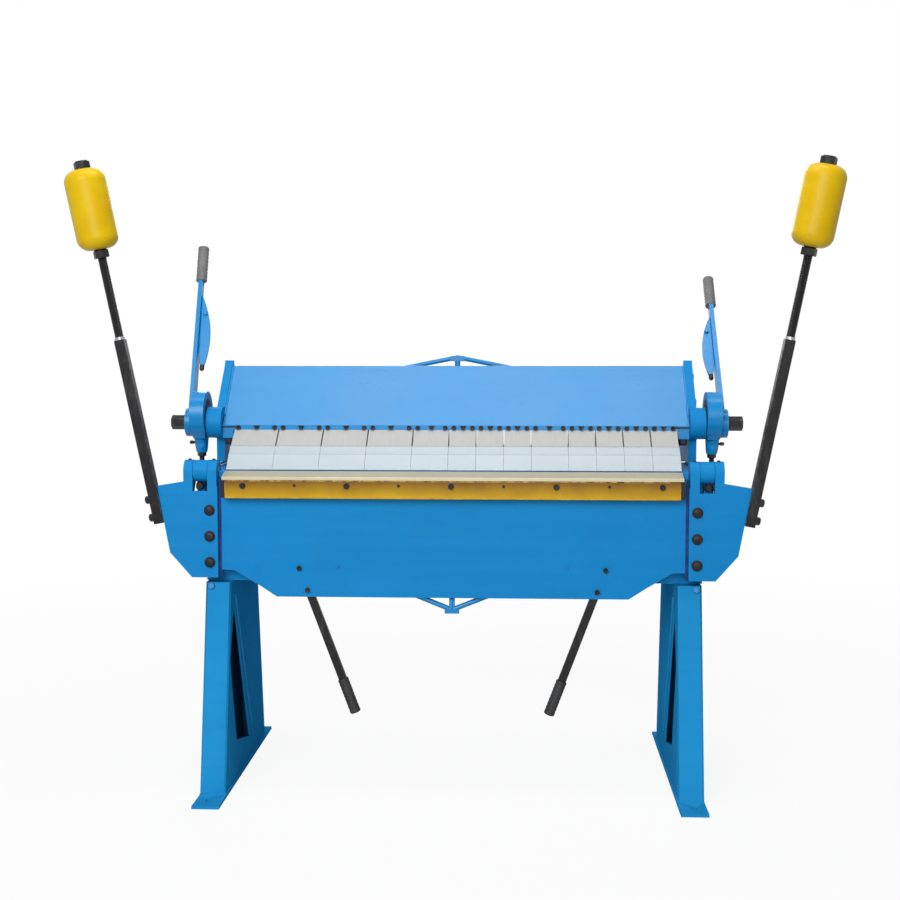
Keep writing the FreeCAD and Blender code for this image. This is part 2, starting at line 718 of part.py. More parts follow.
def beam_truss():
    y = BEAM_REAR_Y - 5
    half = BEAM_HALF - 57
    apex_z = FACE_TOP_Z + 25
    slope = 0.2
    bars = truss(apex_z, slope, half, y, 7.0, 1)
    seat_z = apex_z - 107
    post = rod_z(0, y, 8.0, seat_z, apex_z)
    cap = block(-20, 20, y - 8, y + 8, apex_z - 12, apex_z + 4)
    foot = block(-22, 22, FACE_TOP_Y, y + 8, seat_z - 10, seat_z + 10)
    end_z = apex_z - slope * half
    lug = block(half - 20, half + 14, FACE_TOP_Y, y + 9, end_z - 14, end_z + 12)
    shape = fuse(bars, post, cap, foot, lug, mirror(lug))
    return shape.cut(plate_yz(beam_outline(), -BEAM_HALF, BEAM_HALF))


# ---- eccentric clamp
def ecc_z():
    return SHAFT_Z + ECC_OFFSET


def hub_in_x():
    return STRAP_IN_X + STRAP_W + 2


def eccentric():
    x_hub = hub_in_x()
    shaft = rod_x(SHAFT_Y, SHAFT_Z, SHAFT_R, BEAM_HALF + 1, x_hub + HUB_T)
    disc = rod_x(SHAFT_Y, ecc_z(), ECC_R, STRAP_IN_X, STRAP_IN_X + STRAP_W)
    hex_end = hexagon(V(x_hub + HUB_T, SHAFT_Y, SHAFT_Z), V(1, 0, 0), HEX_AF, HEX_L)
    return fuse(shaft, disc, hex_end)


def lock_z():
    return STEM_END_Z + 28


def strap():
    """Eccentric strap: a ring that tapers down into the tie rod's socket."""
    x0 = STRAP_IN_X
    x1 = STRAP_IN_X + STRAP_W
    tie_x = (x0 + x1) / 2 - 1
    ring = rod_x(SHAFT_Y, ecc_z(), STRAP_R, x0, x1)
    z_mid = ecc_z() - STRAP_R * 0.8
    stem = plate_yz([(SHAFT_Y - 44, z_mid + 8), (SHAFT_Y - 18, STEM_END_Z + 26), (SHAFT_Y - 18, STEM_END_Z),
                     (SHAFT_Y + 18, STEM_END_Z), (SHAFT_Y + 18, STEM_END_Z + 26), (SHAFT_Y + 44, z_mid + 8)],
                    x0 + 3, x1 - 3)
    taper = Part.makeCone(15, 24, 45, V(tie_x, SHAFT_Y, STEM_END_Z), V(0, 0, 1))
    stem = stem.common(fuse(taper, block(x0, x1, SHAFT_Y - 60, SHAFT_Y + 60, STEM_END_Z + 40, ecc_z())))
    body = fuse(ring, stem)
    body = body.cut(rod_x(SHAFT_Y, ecc_z(), ECC_R + RUN, x0 - 1, x1 + 1))
    body = body.cut(rod_x(SHAFT_Y, lock_z(), LOCK_R, tie_x, x1 + 1))
    return body.cut(rod_z(tie_x, SHAFT_Y, TIE_R, STEM_END_Z - 1, STEM_END_Z + 40))


def tie_rod():
    """Threaded tie rod with its cross pin, and the lock screw of the strap's stem."""
    x0 = STRAP_IN_X
    tie_x = x0 + STRAP_W / 2 - 1
    bar = rod_z(tie_x, SHAFT_Y, TIE_R, TIE_PIN_Z, STEM_END_Z + 40)
    nut = hexagon(V(tie_x, SHAFT_Y, STEM_END_Z - 12), V(0, 0, 1), 22, 12)
    pin_in = FRAME_IN_X + FRAME_T + 1
    pin = rod_x(SHAFT_Y, TIE_PIN_Z, TIE_PIN_R, pin_in, tie_x + 24)
    lock = rod_x(SHAFT_Y, lock_z(), LOCK_R, tie_x + TIE_R + 0.2, tie_x + 34)
    return [fuse(bar, nut, pin), lock]


def lever_frame(side):
    lean = math.radians(LEVER_LEAN[side])
    base = V(0, SHAFT_Y, SHAFT_Z)
    along = V(0, math.sin(lean), math.cos(lean))
    return base, along


def lever_profile(base, along, start, end, w0, w1, x0, x1):
    """Tapered flat bar in the lever's plane."""
    side = V(0, along.z, -along.y)
    a = base + along * start
    b = base + along * end
    points = [a + side * (w0 / 2), b + side * (w1 / 2), b - side * (w1 / 2), a - side * (w0 / 2)]
    return plate_yz([(p.y, p.z) for p in points], x0, x1)


def lever_arm(side):
    base, along = lever_frame(side)
    x0 = hub_in_x()
    x1 = x0 + HUB_T
    hub = rod_x(SHAFT_Y, SHAFT_Z, HUB_R, x0, x1)
    neck_x = x0
    bar = lever_profile(base, along, 0, LEVER_LENGTH - LEVER_GRIP_L, LEVER_W + 14, LEVER_W - 8,
                        neck_x, neck_x + LEVER_T)
    core_start = base + along * (LEVER_LENGTH - LEVER_GRIP_L - 10) + V(neck_x + LEVER_T / 2, 0, 0)
    core_end = base + along * (LEVER_LENGTH - 6) + V(neck_x + LEVER_T / 2, 0, 0)
    core = rod(core_start, core_end, LEVER_GRIP_R - 8)
    body = fuse(hub, bar, core)
    return body.cut(rod_x(SHAFT_Y, SHAFT_Z, SHAFT_R, x0 - 1, x1 + 1))


def lever_grip(side):
    base, along = lever_frame(side)
    mid = V(hub_in_x() + LEVER_T / 2, 0, 0)
    start = base + mid + along * (LEVER_LENGTH - LEVER_GRIP_L)
    end = base + mid + along * LEVER_LENGTH
    sleeve = rod(start, end, LEVER_GRIP_R)
    sleeve = sleeve.makeFillet(4.0, [e for e in sleeve.Edges if e.Curve.TypeId == "Part::GeomCircle"])
    return sleeve.cut(rod(start - along * 2, end - along * 6, LEVER_GRIP_R - 8))


def leaf_top():
    return LEVER_LENGTH - LEVER_GRIP_L - LEAF_DROP


def lever_leaf(side):
    """Leaf-shaped plate bolted across the inner side of the lever."""
    base, along = lever_frame(side)
    side_dir = V(0, along.z, -along.y)
    corner = base + V(hub_in_x(), 0, 0) + along * leaf_top() - side_dir * (LEAF_T / 2)
    top, belly, low, heel, root = [corner + V(w, 0, 0) - along * down for w, down in (
        (0, 0), (-LEAF_BELLY, LEAF_LENGTH * 0.5), (-LEAF_BELLY * 0.66, LEAF_LENGTH),
        (-LEAF_BELLY * 0.2, LEAF_LENGTH), (0, LEAF_LENGTH * 0.8))]
    edges = [Part.Arc(top, belly, low).toShape()]
    for a, b in ((low, heel), (heel, root), (root, top)):
        edges.append(Part.LineSegment(a, b).toShape())
    return Part.Face(Part.Wire(edges)).extrude(side_dir * LEAF_T)


def lever_bolts(side):
    """Cap bolt on the leaf's face and a stop screw in its lower end."""
    base, along = lever_frame(side)
    side_dir = V(0, along.z, -along.y)
    face = base + V(hub_in_x() - 14, 0, 0) + along * (leaf_top() - 60) - side_dir * (LEAF_T / 2)
    low = base + V(hub_in_x() - 13, 0, 0) + along * (leaf_top() - LEAF_LENGTH)
    return [hexagon(face, side_dir * -1, 12, 6), hexagon(low, along * -1, 12, 16)]


def build():
    keep("bed", bed())
    keep("leg_bolts", leg_bolts())
    keep("hinge_pins", hinge_pins())
    keep("pivot_pins", pivot_pins())
    keep("tie_anchors", both(tie_anchor()))
    keep("apron_plate", apron_plate())
    keep("folding_blade", blade())
    keep("nose_bar", nose_bar())
    keep("nose_screws", nose_screws())
    keep("wing_bolts", wing_bolts())
    keep("ear_screws", ear_screws())
    keep("apron_truss", apron_truss())
    keep("handle_bolts", handle_bolts())
    keep("handle_bars", both(handle_bar()))
    keep("handle_grips", both(handle_grip()))
    keep("balance_arms", both(balance_arm()))
    keep("arm_bolts", arm_bolts())
    keep("balance_rods", both(balance_rod()))
    keep("balance_collars", [piece for solid in balance_collar() for piece in both(solid)])
    keep("beam_shell", beam_shell())
    keep("beam_truss", beam_truss())
    keep("beam_adjusters", beam_adjusters())
    keep("finger_screws", finger_screws())
    for number, (x0, x1) in enumerate(finger_edges(), 1):
        keep("finger_%02d" % number, finger(x0, x1))
    for side in SIDES:
        keep("end_frame_" + side, sided(end_frame(), side))
        keep("leg_" + side, sided(leg(), side))
        keep("wing_" + side, sided(wing(), side))
        keep("counterweight_" + side, sided(counterweight(), side))
        keep("beam_end_" + side, sided(beam_end(), side))
        keep("eccentric_" + side, sided(eccentric(), side))
        keep("strap_" + side, sided(strap(), side))
        keep("tie_rod_" + side, [sided(piece, side) for piece in tie_rod()])
        keep("lever_arm_" + side, sided(lever_arm(side), side))
        keep("lever_grip_" + side, sided(lever_grip(side), side))
        keep("lever_leaf_" + side, sided(lever_leaf(side), side))
        keep("lever_bolts_" + side, [sided(piece, side) for piece in lever_bolts(side)])


def export():
    os.makedirs("parts", exist_ok=True)
    for name, shape in PARTS.items():
        shape.exportStep("parts/" + name + ".step")
        print(name, "solids", len(shape.Solids), "valid", shape.isValid(), "volume", round(shape.Volume))


build()
export()
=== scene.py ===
"""Finish and small parts of a floor-standing finger folder.

The castings, plates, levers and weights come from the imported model, which is loaded once as a
fixed frame. Each operator below makes or finishes one group of the machine's pieces.
All lengths are metres, +X to the operator's right, +Y to the back, +Z up.
"""
import json
import math

import bmesh
import bpy
from mathutils import Matrix, Vector


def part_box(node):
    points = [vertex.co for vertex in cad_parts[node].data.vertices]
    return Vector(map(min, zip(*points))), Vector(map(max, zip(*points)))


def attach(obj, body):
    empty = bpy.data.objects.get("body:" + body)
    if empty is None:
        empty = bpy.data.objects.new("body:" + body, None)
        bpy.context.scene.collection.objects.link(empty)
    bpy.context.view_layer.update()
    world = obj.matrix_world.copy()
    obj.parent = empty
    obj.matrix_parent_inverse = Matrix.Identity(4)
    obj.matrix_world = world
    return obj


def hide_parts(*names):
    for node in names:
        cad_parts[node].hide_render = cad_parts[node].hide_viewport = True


bl_info = {
    "name": "Finger folder",
    "version": (1, 0, 0),
    "blender": (4, 5, 0),
    "location": "View3D > Sidebar > Folder",
    "description": "Paint, ground steel, fasteners and grips of a finger folder",
    "category": "Object",
}

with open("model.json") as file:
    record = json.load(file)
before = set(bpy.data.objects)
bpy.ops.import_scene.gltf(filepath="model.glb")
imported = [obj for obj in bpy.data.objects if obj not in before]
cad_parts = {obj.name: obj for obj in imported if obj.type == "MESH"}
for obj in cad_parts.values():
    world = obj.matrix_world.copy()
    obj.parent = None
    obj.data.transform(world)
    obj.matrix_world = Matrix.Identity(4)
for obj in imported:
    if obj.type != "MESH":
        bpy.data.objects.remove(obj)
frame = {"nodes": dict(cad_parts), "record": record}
NODES = frame["nodes"]
BODIES = frame["record"]["behaviour"]["bodies"]
JOINTS = frame["record"]["behaviour"]["joints"]
BODY_OF = {node: body for body, names in BODIES.items() for node in names}
SLOT_OF = {part["node"]: part["material_slot"] for part in frame["record"]["subparts"]}
JOINT_AT = {joint["name"]: Vector(joint["pos_m"]) for joint in JOINTS}
FINGERS = sorted(node for node in NODES if node.startswith("finger_") and node[7:].isdigit())
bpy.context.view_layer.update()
SIDES = {"left": -1, "right": 1}
AXIS_X = Vector((1, 0, 0))
AXIS_Y = Vector((0, 1, 0))
AXIS_Z = Vector((0, 0, 1))

# How meshes are cleaned, rounded and shaded. Edges shorter than a few widths stay sharp.
MERGE = 1e-5
FLAT_ANGLE = math.radians(0.6)
CORNER_ANGLE = math.radians(28)
SHARP_ANGLE = math.radians(50)
SHORTEST_EDGE = 2.5
EDGE_MARK = "edge"

# Numbers of a Mix node's share, its two colours and its result
MIX_SOCKETS = (0, 6, 7, 2)

# Sides of round parts, and how thick washers are
HEAD_STEPS = 24
WASHER_STEPS = 28
ROD_STEPS = 32
WEIGHT_STEPS = 64
THREAD_STEPS = 20
LOCK_STEPS = 16
BEAD_STEPS = 10
WASHER_T = 0.0025

# Shares of a head's, nut's or screw's own size
HEX_BODY = 0.88
HEX_BEVEL = 0.07
CROWN_FROM = 0.86
CROWN_FOOT = 0.97
CROWN_TOP = 0.86
NUT_RISE = 0.7
SOCKET_WIDTH = 0.56
SOCKET_FLOOR = 0.4
THREAD_DEPTH = 0.3
BEAD_RIPPLE = 0.86
FRAME_WASHER = 0.75
KNUCKLE_WASHER = 0.6
BOLT_WASHER_H = 0.3
BOLT_HEAD_R = 0.72
WING_FLATS = 1.46
WING_SHANK = 0.39
PIN_BEVEL = 0.15
LOCK_SHANK_L = 0.7
LOCK_SHANK_R = 0.8
LOCK_PITCH = 0.6
LOCK_HEAD_FROM = 0.62
TRUSS_STUD_L = 1.1
TRUSS_STUD_R = 0.3
TRUSS_PITCH = 0.1

# Stand: foot plates, the inner plate with its window, and the welds beside it.
# The window's corners are (Y, Z) points; the second is the middle of its front edge.
FOOT_PLATE = 0.008
FOOT_LIP = 0.003
LEG_FOOT_Y = (-0.296, 0.292)
LEG_FRONT_STEP = 0.007
LEG_INNER_X = 0.608
LEG_PLATE = 0.005
PACKED_WINDOW = ((-0.155, 0.5), (-0.1465, 0.2975), (-0.138, 0.095), (0.022, 0.082))
WINDOW = ((-0.15, 0.515), (-0.214, 0.353), (-0.138, 0.115), (0.052, 0.072))
BRACE_WELD = ((-0.14, 0.53), (0.078, 0.1))
BRACE_WELD_SHARE = 1.2

# End frames
FRAME_BOLT_Y = (-0.123, 0.117)
FRAME_BOLT_Z = (0.632, 0.83)
KNUCKLE_STEP = 0.003
KNUCKLE_BOLT = Vector((0.693, -0.173, 0.836))

# Apron: blade, dark strips that stand for the shade in the gaps beside the wings, packers under the
# blade's ends, bolts
BLADE_SHARE = 0.981
STRIP_W = 0.008
STRIP_T = 0.0012
STRIP_EDGE = STRIP_T * 0.4
PACKER_W = 0.013
PACKER_T = 0.024
PACKER_STEP = 0.002
PACKER_GAP = 0.0006
WING_HEAD = 0.011
WING_WASHER = 0.015
HANDLE_LEAN = math.atan2(0.155, 0.413)
HANDLE_BOLT_FROM = 0.007

# Truss rods: their ends on the right side, and how their nuts' axes rise
TRUSS_ENDS = (("apron", Vector((0.572, -0.178, 0.7258)), 0.4),
              ("beam", Vector((0.614, 0.164, 1.0642)), -0.2))
TRUSS_NUT = 0.017

# Balance
SHOULDER_L = 0.008
SHOULDER_R = 1.12
WEIGHT_BORE = 0.22
WEIGHT_EDGE = 0.6
WEIGHT_CORNER_STEPS = 12

# Beam: bolts of the end castings, jack nuts, dark strips that stand for the shadow under its
# flange, and weld beads at its ends
BEAM_BOLTS = ((0.032, 1.06), (0.117, 1.06), (0.097, 1.13))
BEAM_HEAD = 0.0045
BOSS_STEP = 0.02
JACK_NUT = 0.024
JACK_NUT_H = 0.019
JACK_IN = JACK_NUT * 0.7
JACK_Z = 0.9605
SHADE_STRIP_X = (0.606, 0.662)
SHADE_STRIP_Z = (0.9895, 0.994)
SHADE_STRIP_OUT = 0.002
SHADE_STRIP_IN = 0.01
SHADE_STRIP_EDGE = 0.0006
WELD_FOOT = Vector((0.656, -0.025, 1.0237))
WELD_TOP = Vector((0.656, 0.1, 1.1585))

# Fingers: heights of the break and of the scraped strip as shares of their height, and screws
FINGER_BREAK = 0.6
FINGER_STRIP = 0.4
MILLED_COLOUR = (0.38, 0.365, 0.34)
SCREW_SHARE = 1.2
CLIP_FROM = 0.013
CLIP_BOLT_R = 0.005
CLIP_H = 0.004
CLIP_EDGE = CLIP_H * 0.15

# Clamps and grips
TIE_R = 0.0075
TIE_NUT = 0.022
TIE_NUT_H = 0.012
TIE_PIN_R = 0.008
GRIP_RIBS = 8
GRIP_RIM = 0.28
GRIP_RIM_STEPS = 5


# ---- shader expressions
class Value:
    """A node's output that shader maths can be written with."""

    def __init__(self, nodes, link):
        self.nodes = nodes
        self.link = link

    def _math(self, operation, first, second):
        return self.nodes.node("ShaderNodeMath", {"operation": operation}, {0: first, 1: second})

    def __add__(self, other):
        return self._math("ADD", self, other)

    def __sub__(self, other):
        return self._math("SUBTRACT", self, other)

    def __rsub__(self, other):
        return self._math("SUBTRACT", other, self)

    def __mul__(self, other):
        return self._math("MULTIPLY", self, other)

    def __gt__(self, other):
        return self._math("GREATER_THAN", self, other)

    __radd__ = __add__
    __rmul__ = __mul__

    def beside(self, name):
        """Another output of the same node."""
        return Value(self.nodes, self.link.node.outputs[name])


class Nodes:
    """A node tree and the ways to add to it."""

    def __init__(self, tree):
        self.tree = tree

    def connect(self, socket, value):
        """Links a value to a socket, or sets the socket's own number, vector or colour."""
        if isinstance(value, Value):
            self.tree.links.new(value.link, socket)
        else:
            socket.default_value = (*value, 1) if socket.type == "RGBA" else value

    def node(self, kind, settings=None, inputs=None, output=0):
        """Adds a node, sets it up, feeds its sockets and returns one output."""
        made = self.tree.nodes.new(kind)
        for key, value in (settings or {}).items():
            setattr(made, key, value)
        for key, value in (inputs or {}).items():
            self.connect(made.inputs[key], value)
        return Value(self, made.outputs[output])


class Shader(Nodes):
    """A new material and the nodes behind its surface."""

    def __init__(self, name, colour, roughness, metallic, specular):
        self.material = bpy.data.materials.new(name)
        self.material.use_nodes = True
        self.material.diffuse_color = (*colour, 1)
        super().__init__(self.material.node_tree)
        self.surface = next(n for n in self.tree.nodes if n.type == "BSDF_PRINCIPLED")
        self.feed("Base Color", colour)
        self.feed("Roughness", roughness)
        self.feed("Metallic", metallic)
        self.feed("Specular IOR Level", specular)

    def feed(self, name, value):
        """Feeds one of the surface's sockets."""
        self.connect(self.surface.inputs[name], value)

    def place(self, scale=(1, 1, 1)):
        """Object coordinates, stretched."""
        coords = self.node("ShaderNodeTexCoord", output="Object")
        return self.node("ShaderNodeMapping", None, {"Vector": coords, "Scale": scale})

    def height(self):
        """Object Z."""
        return self.node("ShaderNodeSeparateXYZ", None, {0: self.place()}, output="Z")

    def noise(self, scale, detail=3.0, roughness=0.55, stretch=(1, 1, 1)):
        """Cloudy values about 0.5."""
        return self.node("ShaderNodeTexNoise", None,
                         {"Vector": self.place(stretch), "Scale": scale, "Detail": detail,
                          "Roughness": roughness})

    def ramp(self, value, low, high):
        """0 below low, 1 above high."""
        return self.node("ShaderNodeMapRange", None,
                         {"Value": value, "From Min": low, "From Max": high})

    def spots(self, low, high, *noise, **stretch):
        """Noise spread out to 0 below low and 1 above high."""
        return self.ramp(self.noise(*noise, **stretch), low, high)

    def blend(self, share, first, second):
        """A colour between two."""
        factor, *colours, result = MIX_SOCKETS
        return self.node("ShaderNodeMix", {"data_type": "RGBA"},
                         {factor: share, colours[0]: first, colours[1]: second}, result)

    def relief(self, height, depth, strength):
        """Bump of a given depth in metres."""
        bump = self.node("ShaderNodeBump", None,
                         {"Height": height, "Distance": depth, "Strength": strength})
        self.feed("Normal", bump)


def darker(colour, share):
    return tuple(channel * share for channel in colour)


def lighter(colour, share, lift=0.0):
    return tuple(min(1.0, channel * share + lift) for channel in colour)


def edge_wear_and_highlight(shader, tone, edge_colour, share):
    """Feeds the colour, with another one on the rounded edges, in patches; the edge colour stands
    partly for wear and partly for a painted highlight where edges catch the light.
    """
    edge = shader.node("ShaderNodeAttribute", {"attribute_name": EDGE_MARK}, output=2)
    patches = shader.spots(0.4, 0.62, 70.0, 4.0, 0.65)
    shader.feed("Base Color", shader.blend(edge * patches * share, tone, edge_colour))


def enamel(shader, colour, rough=0.0):
    """Machine enamel: slow colour drift, brush streaks, orange peel, and paler edges that are
    partly worn paint and partly a painted highlight.
    """
    drift = shader.spots(0.35, 0.7, 3.5, 4.0)
    tone = shader.blend(drift, darker(colour, 0.91), colour)
    streak = shader.spots(0.42, 0.8, 9.0, 3.0, stretch=(0.25, 1, 3.5))
    tone = shader.blend(streak * 0.3, tone, lighter(colour, 1.1, 0.008))
    grime = shader.spots(0.58, 0.78, 24.0, 6.0, 0.7)
    tone = shader.blend(grime * 0.16, tone, darker(colour, 0.55))
    specks = shader.spots(0.71, 0.76, 160.0, 2.0)
    tone = shader.blend(specks * 0.4, tone, darker(colour, 0.5))
    # Paler edges: partly worn paint, partly a painted highlight where the rounded edges catch the
    # light
    edge_wear_and_highlight(shader, tone, lighter(colour, 1.25, 0.03), 0.7)
    shader.feed("Roughness", 0.24 + rough + drift * 0.06 + grime * 0.12 + shader.noise(45.0) * 0.08)
    peel = shader.noise(420.0, 2.0) * 0.5 + shader.noise(60.0, 2.0) * 0.5
    shader.relief(peel, 0.0005, 0.3)


def casting_enamel(shader, colour):
    """Enamel on rough castings, duller."""
    enamel(shader, colour, 0.26)


def joint_seal(shader, colour):
    """Dark colour of the strips that stand for the shade in the gaps beside the wings, uneven and
    dull.
    """
    smear = shader.spots(0.35, 0.7, 40.0, 4.0)
    shader.feed("Base Color", shader.blend(smear, darker(colour, 0.5), colour))
    shader.feed("Roughness", 0.55 + smear * 0.25)
    shader.relief(shader.noise(120.0, 3.0), 0.0006, 0.5)


def yellow_tone(shader, colour):
    """Yellow enamel, browner where it is thin, with rubbed patches; gives its tone."""
    drift = shader.spots(0.3, 0.72, 9.0, 4.0)
    thin = (colour[0] * 0.88, colour[1] * 0.78, colour[2] * 0.9)
    tone = shader.blend(drift, thin, colour)
    rubs = shader.spots(0.6, 0.74, 36.0, 5.0, 0.7)
    tone = shader.blend(rubs * 0.25, tone, darker(thin, 0.72))
    shader.feed("Roughness", 0.32 + drift * 0.12 + rubs * 0.1)
    shader.relief(shader.noise(380.0, 2.0) * 0.5 + shader.noise(50.0, 3.0) * 0.6, 0.0006, 0.35)
    return tone


def weight_enamel(shader, colour):
    """Enamel of the cast weights."""
    tone = yellow_tone(shader, colour)
    edge_wear_and_highlight(shader, tone, lighter(colour, 1.05, 0.04), 0.8)


def nose_enamel(shader, colour):
    """Enamel of the nose bar, with painted shade: browner and darker towards its top, where the
    blade overhangs it.
    """
    tone = yellow_tone(shader, colour)
    low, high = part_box("nose_bar")
    # Painted shade under the blade: the colour turns darker and browner towards the bar's top, with
    # a noisy boundary
    warped_height = shader.height() + (shader.noise(16.0, 3.0) - 0.5) * 0.02
    blade_shade = shader.ramp(warped_height, low.z + (high.z - low.z) * 0.1, high.z)
    tone = shader.blend(blade_shade, tone, (colour[0] * 0.26, colour[1] * 0.17, colour[2] * 0.8))
    # Paler edges: partly wear, partly a painted highlight along the bar's rounded edges
    edge_wear_and_highlight(shader, tone, lighter(colour, 1.25, 0.05), 0.9)


def grinding(shader, tone, colour):
    """Grinding marks along the machine's length, with faint stains, on a given tone."""
    marks = shader.noise(30.0, 5.0, 0.7, stretch=(0.6, 22, 22))
    fine = shader.noise(120.0, 3.0, 0.6, stretch=(0.4, 14, 14))
    tone = shader.blend(marks * 0.5, tone, darker(colour, 0.8))
    stain = shader.spots(0.6, 0.72, 26.0, 5.0, 0.7)
    tone = shader.blend(stain * 0.14, tone, darker(colour, 0.55))
    edge_wear_and_highlight(shader, tone, lighter(colour, 1.5, 0.05), 0.6)
    shader.feed("Roughness", 0.3 + marks * 0.22 + stain * 0.1)
    shader.relief(marks * 0.5 + fine * 0.5, 0.0003, 0.5)


def ground_steel(shader, colour):
    """Surface-ground steel."""
    cloud = shader.spots(0.3, 0.75, 11.0, 4.0)
    grinding(shader, shader.blend(cloud, darker(colour, 0.9), colour), colour)


def line_at(value, place, width):
    """1 in a narrow band about a value."""
    return (value > place - width / 2) * (1 - (value > place + width / 2))


def finger_steel(shader, colour):
    """Finger steel: milled above the break, a scraped strip under it, a bright ground nose, and
    dark lines painted as the shade of the ledges at both edges of the strip.
    """
    low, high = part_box(FINGERS[0])
    break_z = low.z + (high.z - low.z) * FINGER_BREAK
    strip_z = low.z + (high.z - low.z) * FINGER_STRIP
    height = shader.height()
    milled = shader.noise(14.0, 4.0, 0.7, stretch=(9, 1, 0.6))
    upper = shader.blend(milled, darker(MILLED_COLOUR, 0.8), lighter(MILLED_COLOUR, 1.06))
    cloud = shader.spots(0.3, 0.75, 8.0, 4.0)
    lower = shader.blend(cloud, darker(colour, 0.93), colour)
    above_strip = shader.ramp(height, strip_z - 0.0008, strip_z + 0.0008)
    above_break = shader.ramp(height, break_z - 0.001, break_z + 0.001)
    tone = shader.blend(above_strip, lower, darker(colour, 0.88))
    tone = shader.blend(above_break, tone, upper)
    # Painted shade: dark lines at the break and at the strip's lower edge stand for the shadow
    # under the ledges
    ledge_shade_lines = line_at(height, break_z, 0.003) * 0.6 + line_at(height, strip_z, 0.0024) * 0.45
    tone = shader.blend(ledge_shade_lines, tone, (0.2, 0.2, 0.23))
    grinding(shader, tone, colour)


def turned_steel(shader, colour):
    """Bright shaft steel with lathe marks and a thin film of oil."""
    marks = shader.noise(80.0, 4.0, 0.6, stretch=(12, 1, 1))
    film = shader.spots(0.4, 0.7, 14.0, 4.0)
    shader.feed("Base Color", shader.blend(film, darker(colour, 0.72), colour))
    shader.feed("Roughness", 0.22 + marks * 0.22)
    shader.relief(marks, 0.0002, 0.4)


def black_oxide(shader, colour):
    """Blackened steel, rubbed grey in patches and along its edges."""
    wear = shader.spots(0.5, 0.8, 38.0, 6.0, 0.7)
    scuffs = shader.spots(0.58, 0.75, 60.0, 3.0, stretch=(1, 1, 0.12))
    tone = shader.blend(wear, colour, lighter(colour, 1.4, 0.008))
    tone = shader.blend(scuffs * 0.4, tone, (0.07, 0.07, 0.068))
    edge_wear_and_highlight(shader, tone, (0.12, 0.12, 0.12), 0.6)
    shader.feed("Roughness", 0.38 + wear * 0.2)
    shader.relief(shader.noise(300.0, 3.0), 0.0004, 0.4)


def grip_plastic(shader, colour):
    """Moulded sleeve with a fine matt grain and pale dust."""
    dust = shader.spots(0.42, 0.75, 22.0, 4.0)
    shader.feed("Base Color", shader.blend(dust, colour, lighter(colour, 1.5, 0.01)))
    shader.feed("Roughness", 0.5 + dust * 0.22)
    shader.relief(shader.noise(650.0, 2.0), 0.0004, 0.5)


# How each finish is made, and its plain roughness, metallic share and gloss
FINISHES = {
    "blue_paint": (enamel, 0.38, 0.0, 0.25),
    "leg_paint": (enamel, 0.38, 0.0, 0.0),
    "casting_paint": (casting_enamel, 0.38, 0.0, 0.12),
    "joint_seal": (joint_seal, 0.7, 0.0, 0.1),
    "yellow_paint": (nose_enamel, 0.36, 0.0, 0.15),
    "weight_paint": (weight_enamel, 0.36, 0.0, 0.15),
    "ground_steel": (ground_steel, 0.42, 0.3, 0.5),
    "finger_steel": (finger_steel, 0.42, 0.06, 0.3),
    "bright_steel": (turned_steel, 0.3, 0.85, 0.5),
    "blackened_steel": (black_oxide, 0.4, 0.15, 0.2),
    "black_grip": (grip_plastic, 0.62, 0.0, 0.3),
    "lever_grip": (grip_plastic, 0.62, 0.0, 0.3),
}
MATERIALS = {}


def finish_of(name):
    """The material of a finish, made from the panel's colours the first time."""
    if name not in MATERIALS:
        colour = tuple(getattr(bpy.context.scene.folder_colours, name))
        make, *plain = FINISHES[name]
        shader = Shader(name, colour, *plain)
        make(shader, colour)
        MATERIALS[name] = shader.material
    return MATERIALS[name]


# ---- meshes
def finish_piece(name, mesh, body, slot, finish=None, replaced=()):
    """Makes an object of a finished bmesh, gives it its body and its material, the finish or else
    the slot's.
    """
    bmesh.ops.recalc_face_normals(mesh, faces=mesh.faces)
    data = bpy.data.meshes.new(name)
    mesh.to_mesh(data)
    mesh.free()
    for face in data.polygons:
        face.use_smooth = True
    data.set_sharp_from_angle(angle=SHARP_ANGLE)
    piece = bpy.data.objects.new(name, data)
    bpy.context.scene.collection.objects.link(piece)
    level = piece.modifiers.new("level_faces", "WEIGHTED_NORMAL")
    level.keep_sharp = True
    data.materials.append(finish_of(finish or slot))
    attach(piece, body)
    if replaced:
        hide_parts(*replaced)


def remake(node, mesh, finish=None):
    """Puts a finished bmesh in the place of a CAD node."""
    finish_piece(node + "_finished", mesh, BODY_OF[node], SLOT_OF[node], finish, (node,))


def merged_copy(node):
    """A bmesh of a CAD node with its triangles joined and its flat faces cleaned."""
    mesh = bmesh.new()
    mesh.from_mesh(NODES[node].data)
    bmesh.ops.remove_doubles(mesh, verts=mesh.verts, dist=MERGE)
    bmesh.ops.dissolve_limit(mesh, angle_limit=FLAT_ANGLE, verts=mesh.verts, edges=mesh.edges)
    return mesh


def nearest(mesh, place):
    """The vertex nearest to a place."""
    return min(mesh.verts, key=lambda vert: (vert.co - Vector(place)).length)


def bevel(mesh, edges, width, segments=2, clamp=True):
    """Rounds edges, and gives the new faces and vertices."""
    return bmesh.ops.bevel(mesh, geom=list(edges), offset=width, offset_type="OFFSET",
                           segments=segments, profile=0.5, affect="EDGES", clamp_overlap=clamp,
                           material=-1)


def soften(mesh, width, segments=2):
    """Rounds the outer edges of a casting or plate and marks the new faces."""
    mark = mesh.faces.layers.float.new(EDGE_MARK)
    edges = [e for e in mesh.edges if len(e.link_faces) == 2 and e.is_convex
             and e.calc_face_angle(0) > CORNER_ANGLE and e.calc_length() > width * SHORTEST_EDGE]
    for face in bevel(mesh, edges, width, segments)["faces"]:
        face[mark] = 1.0


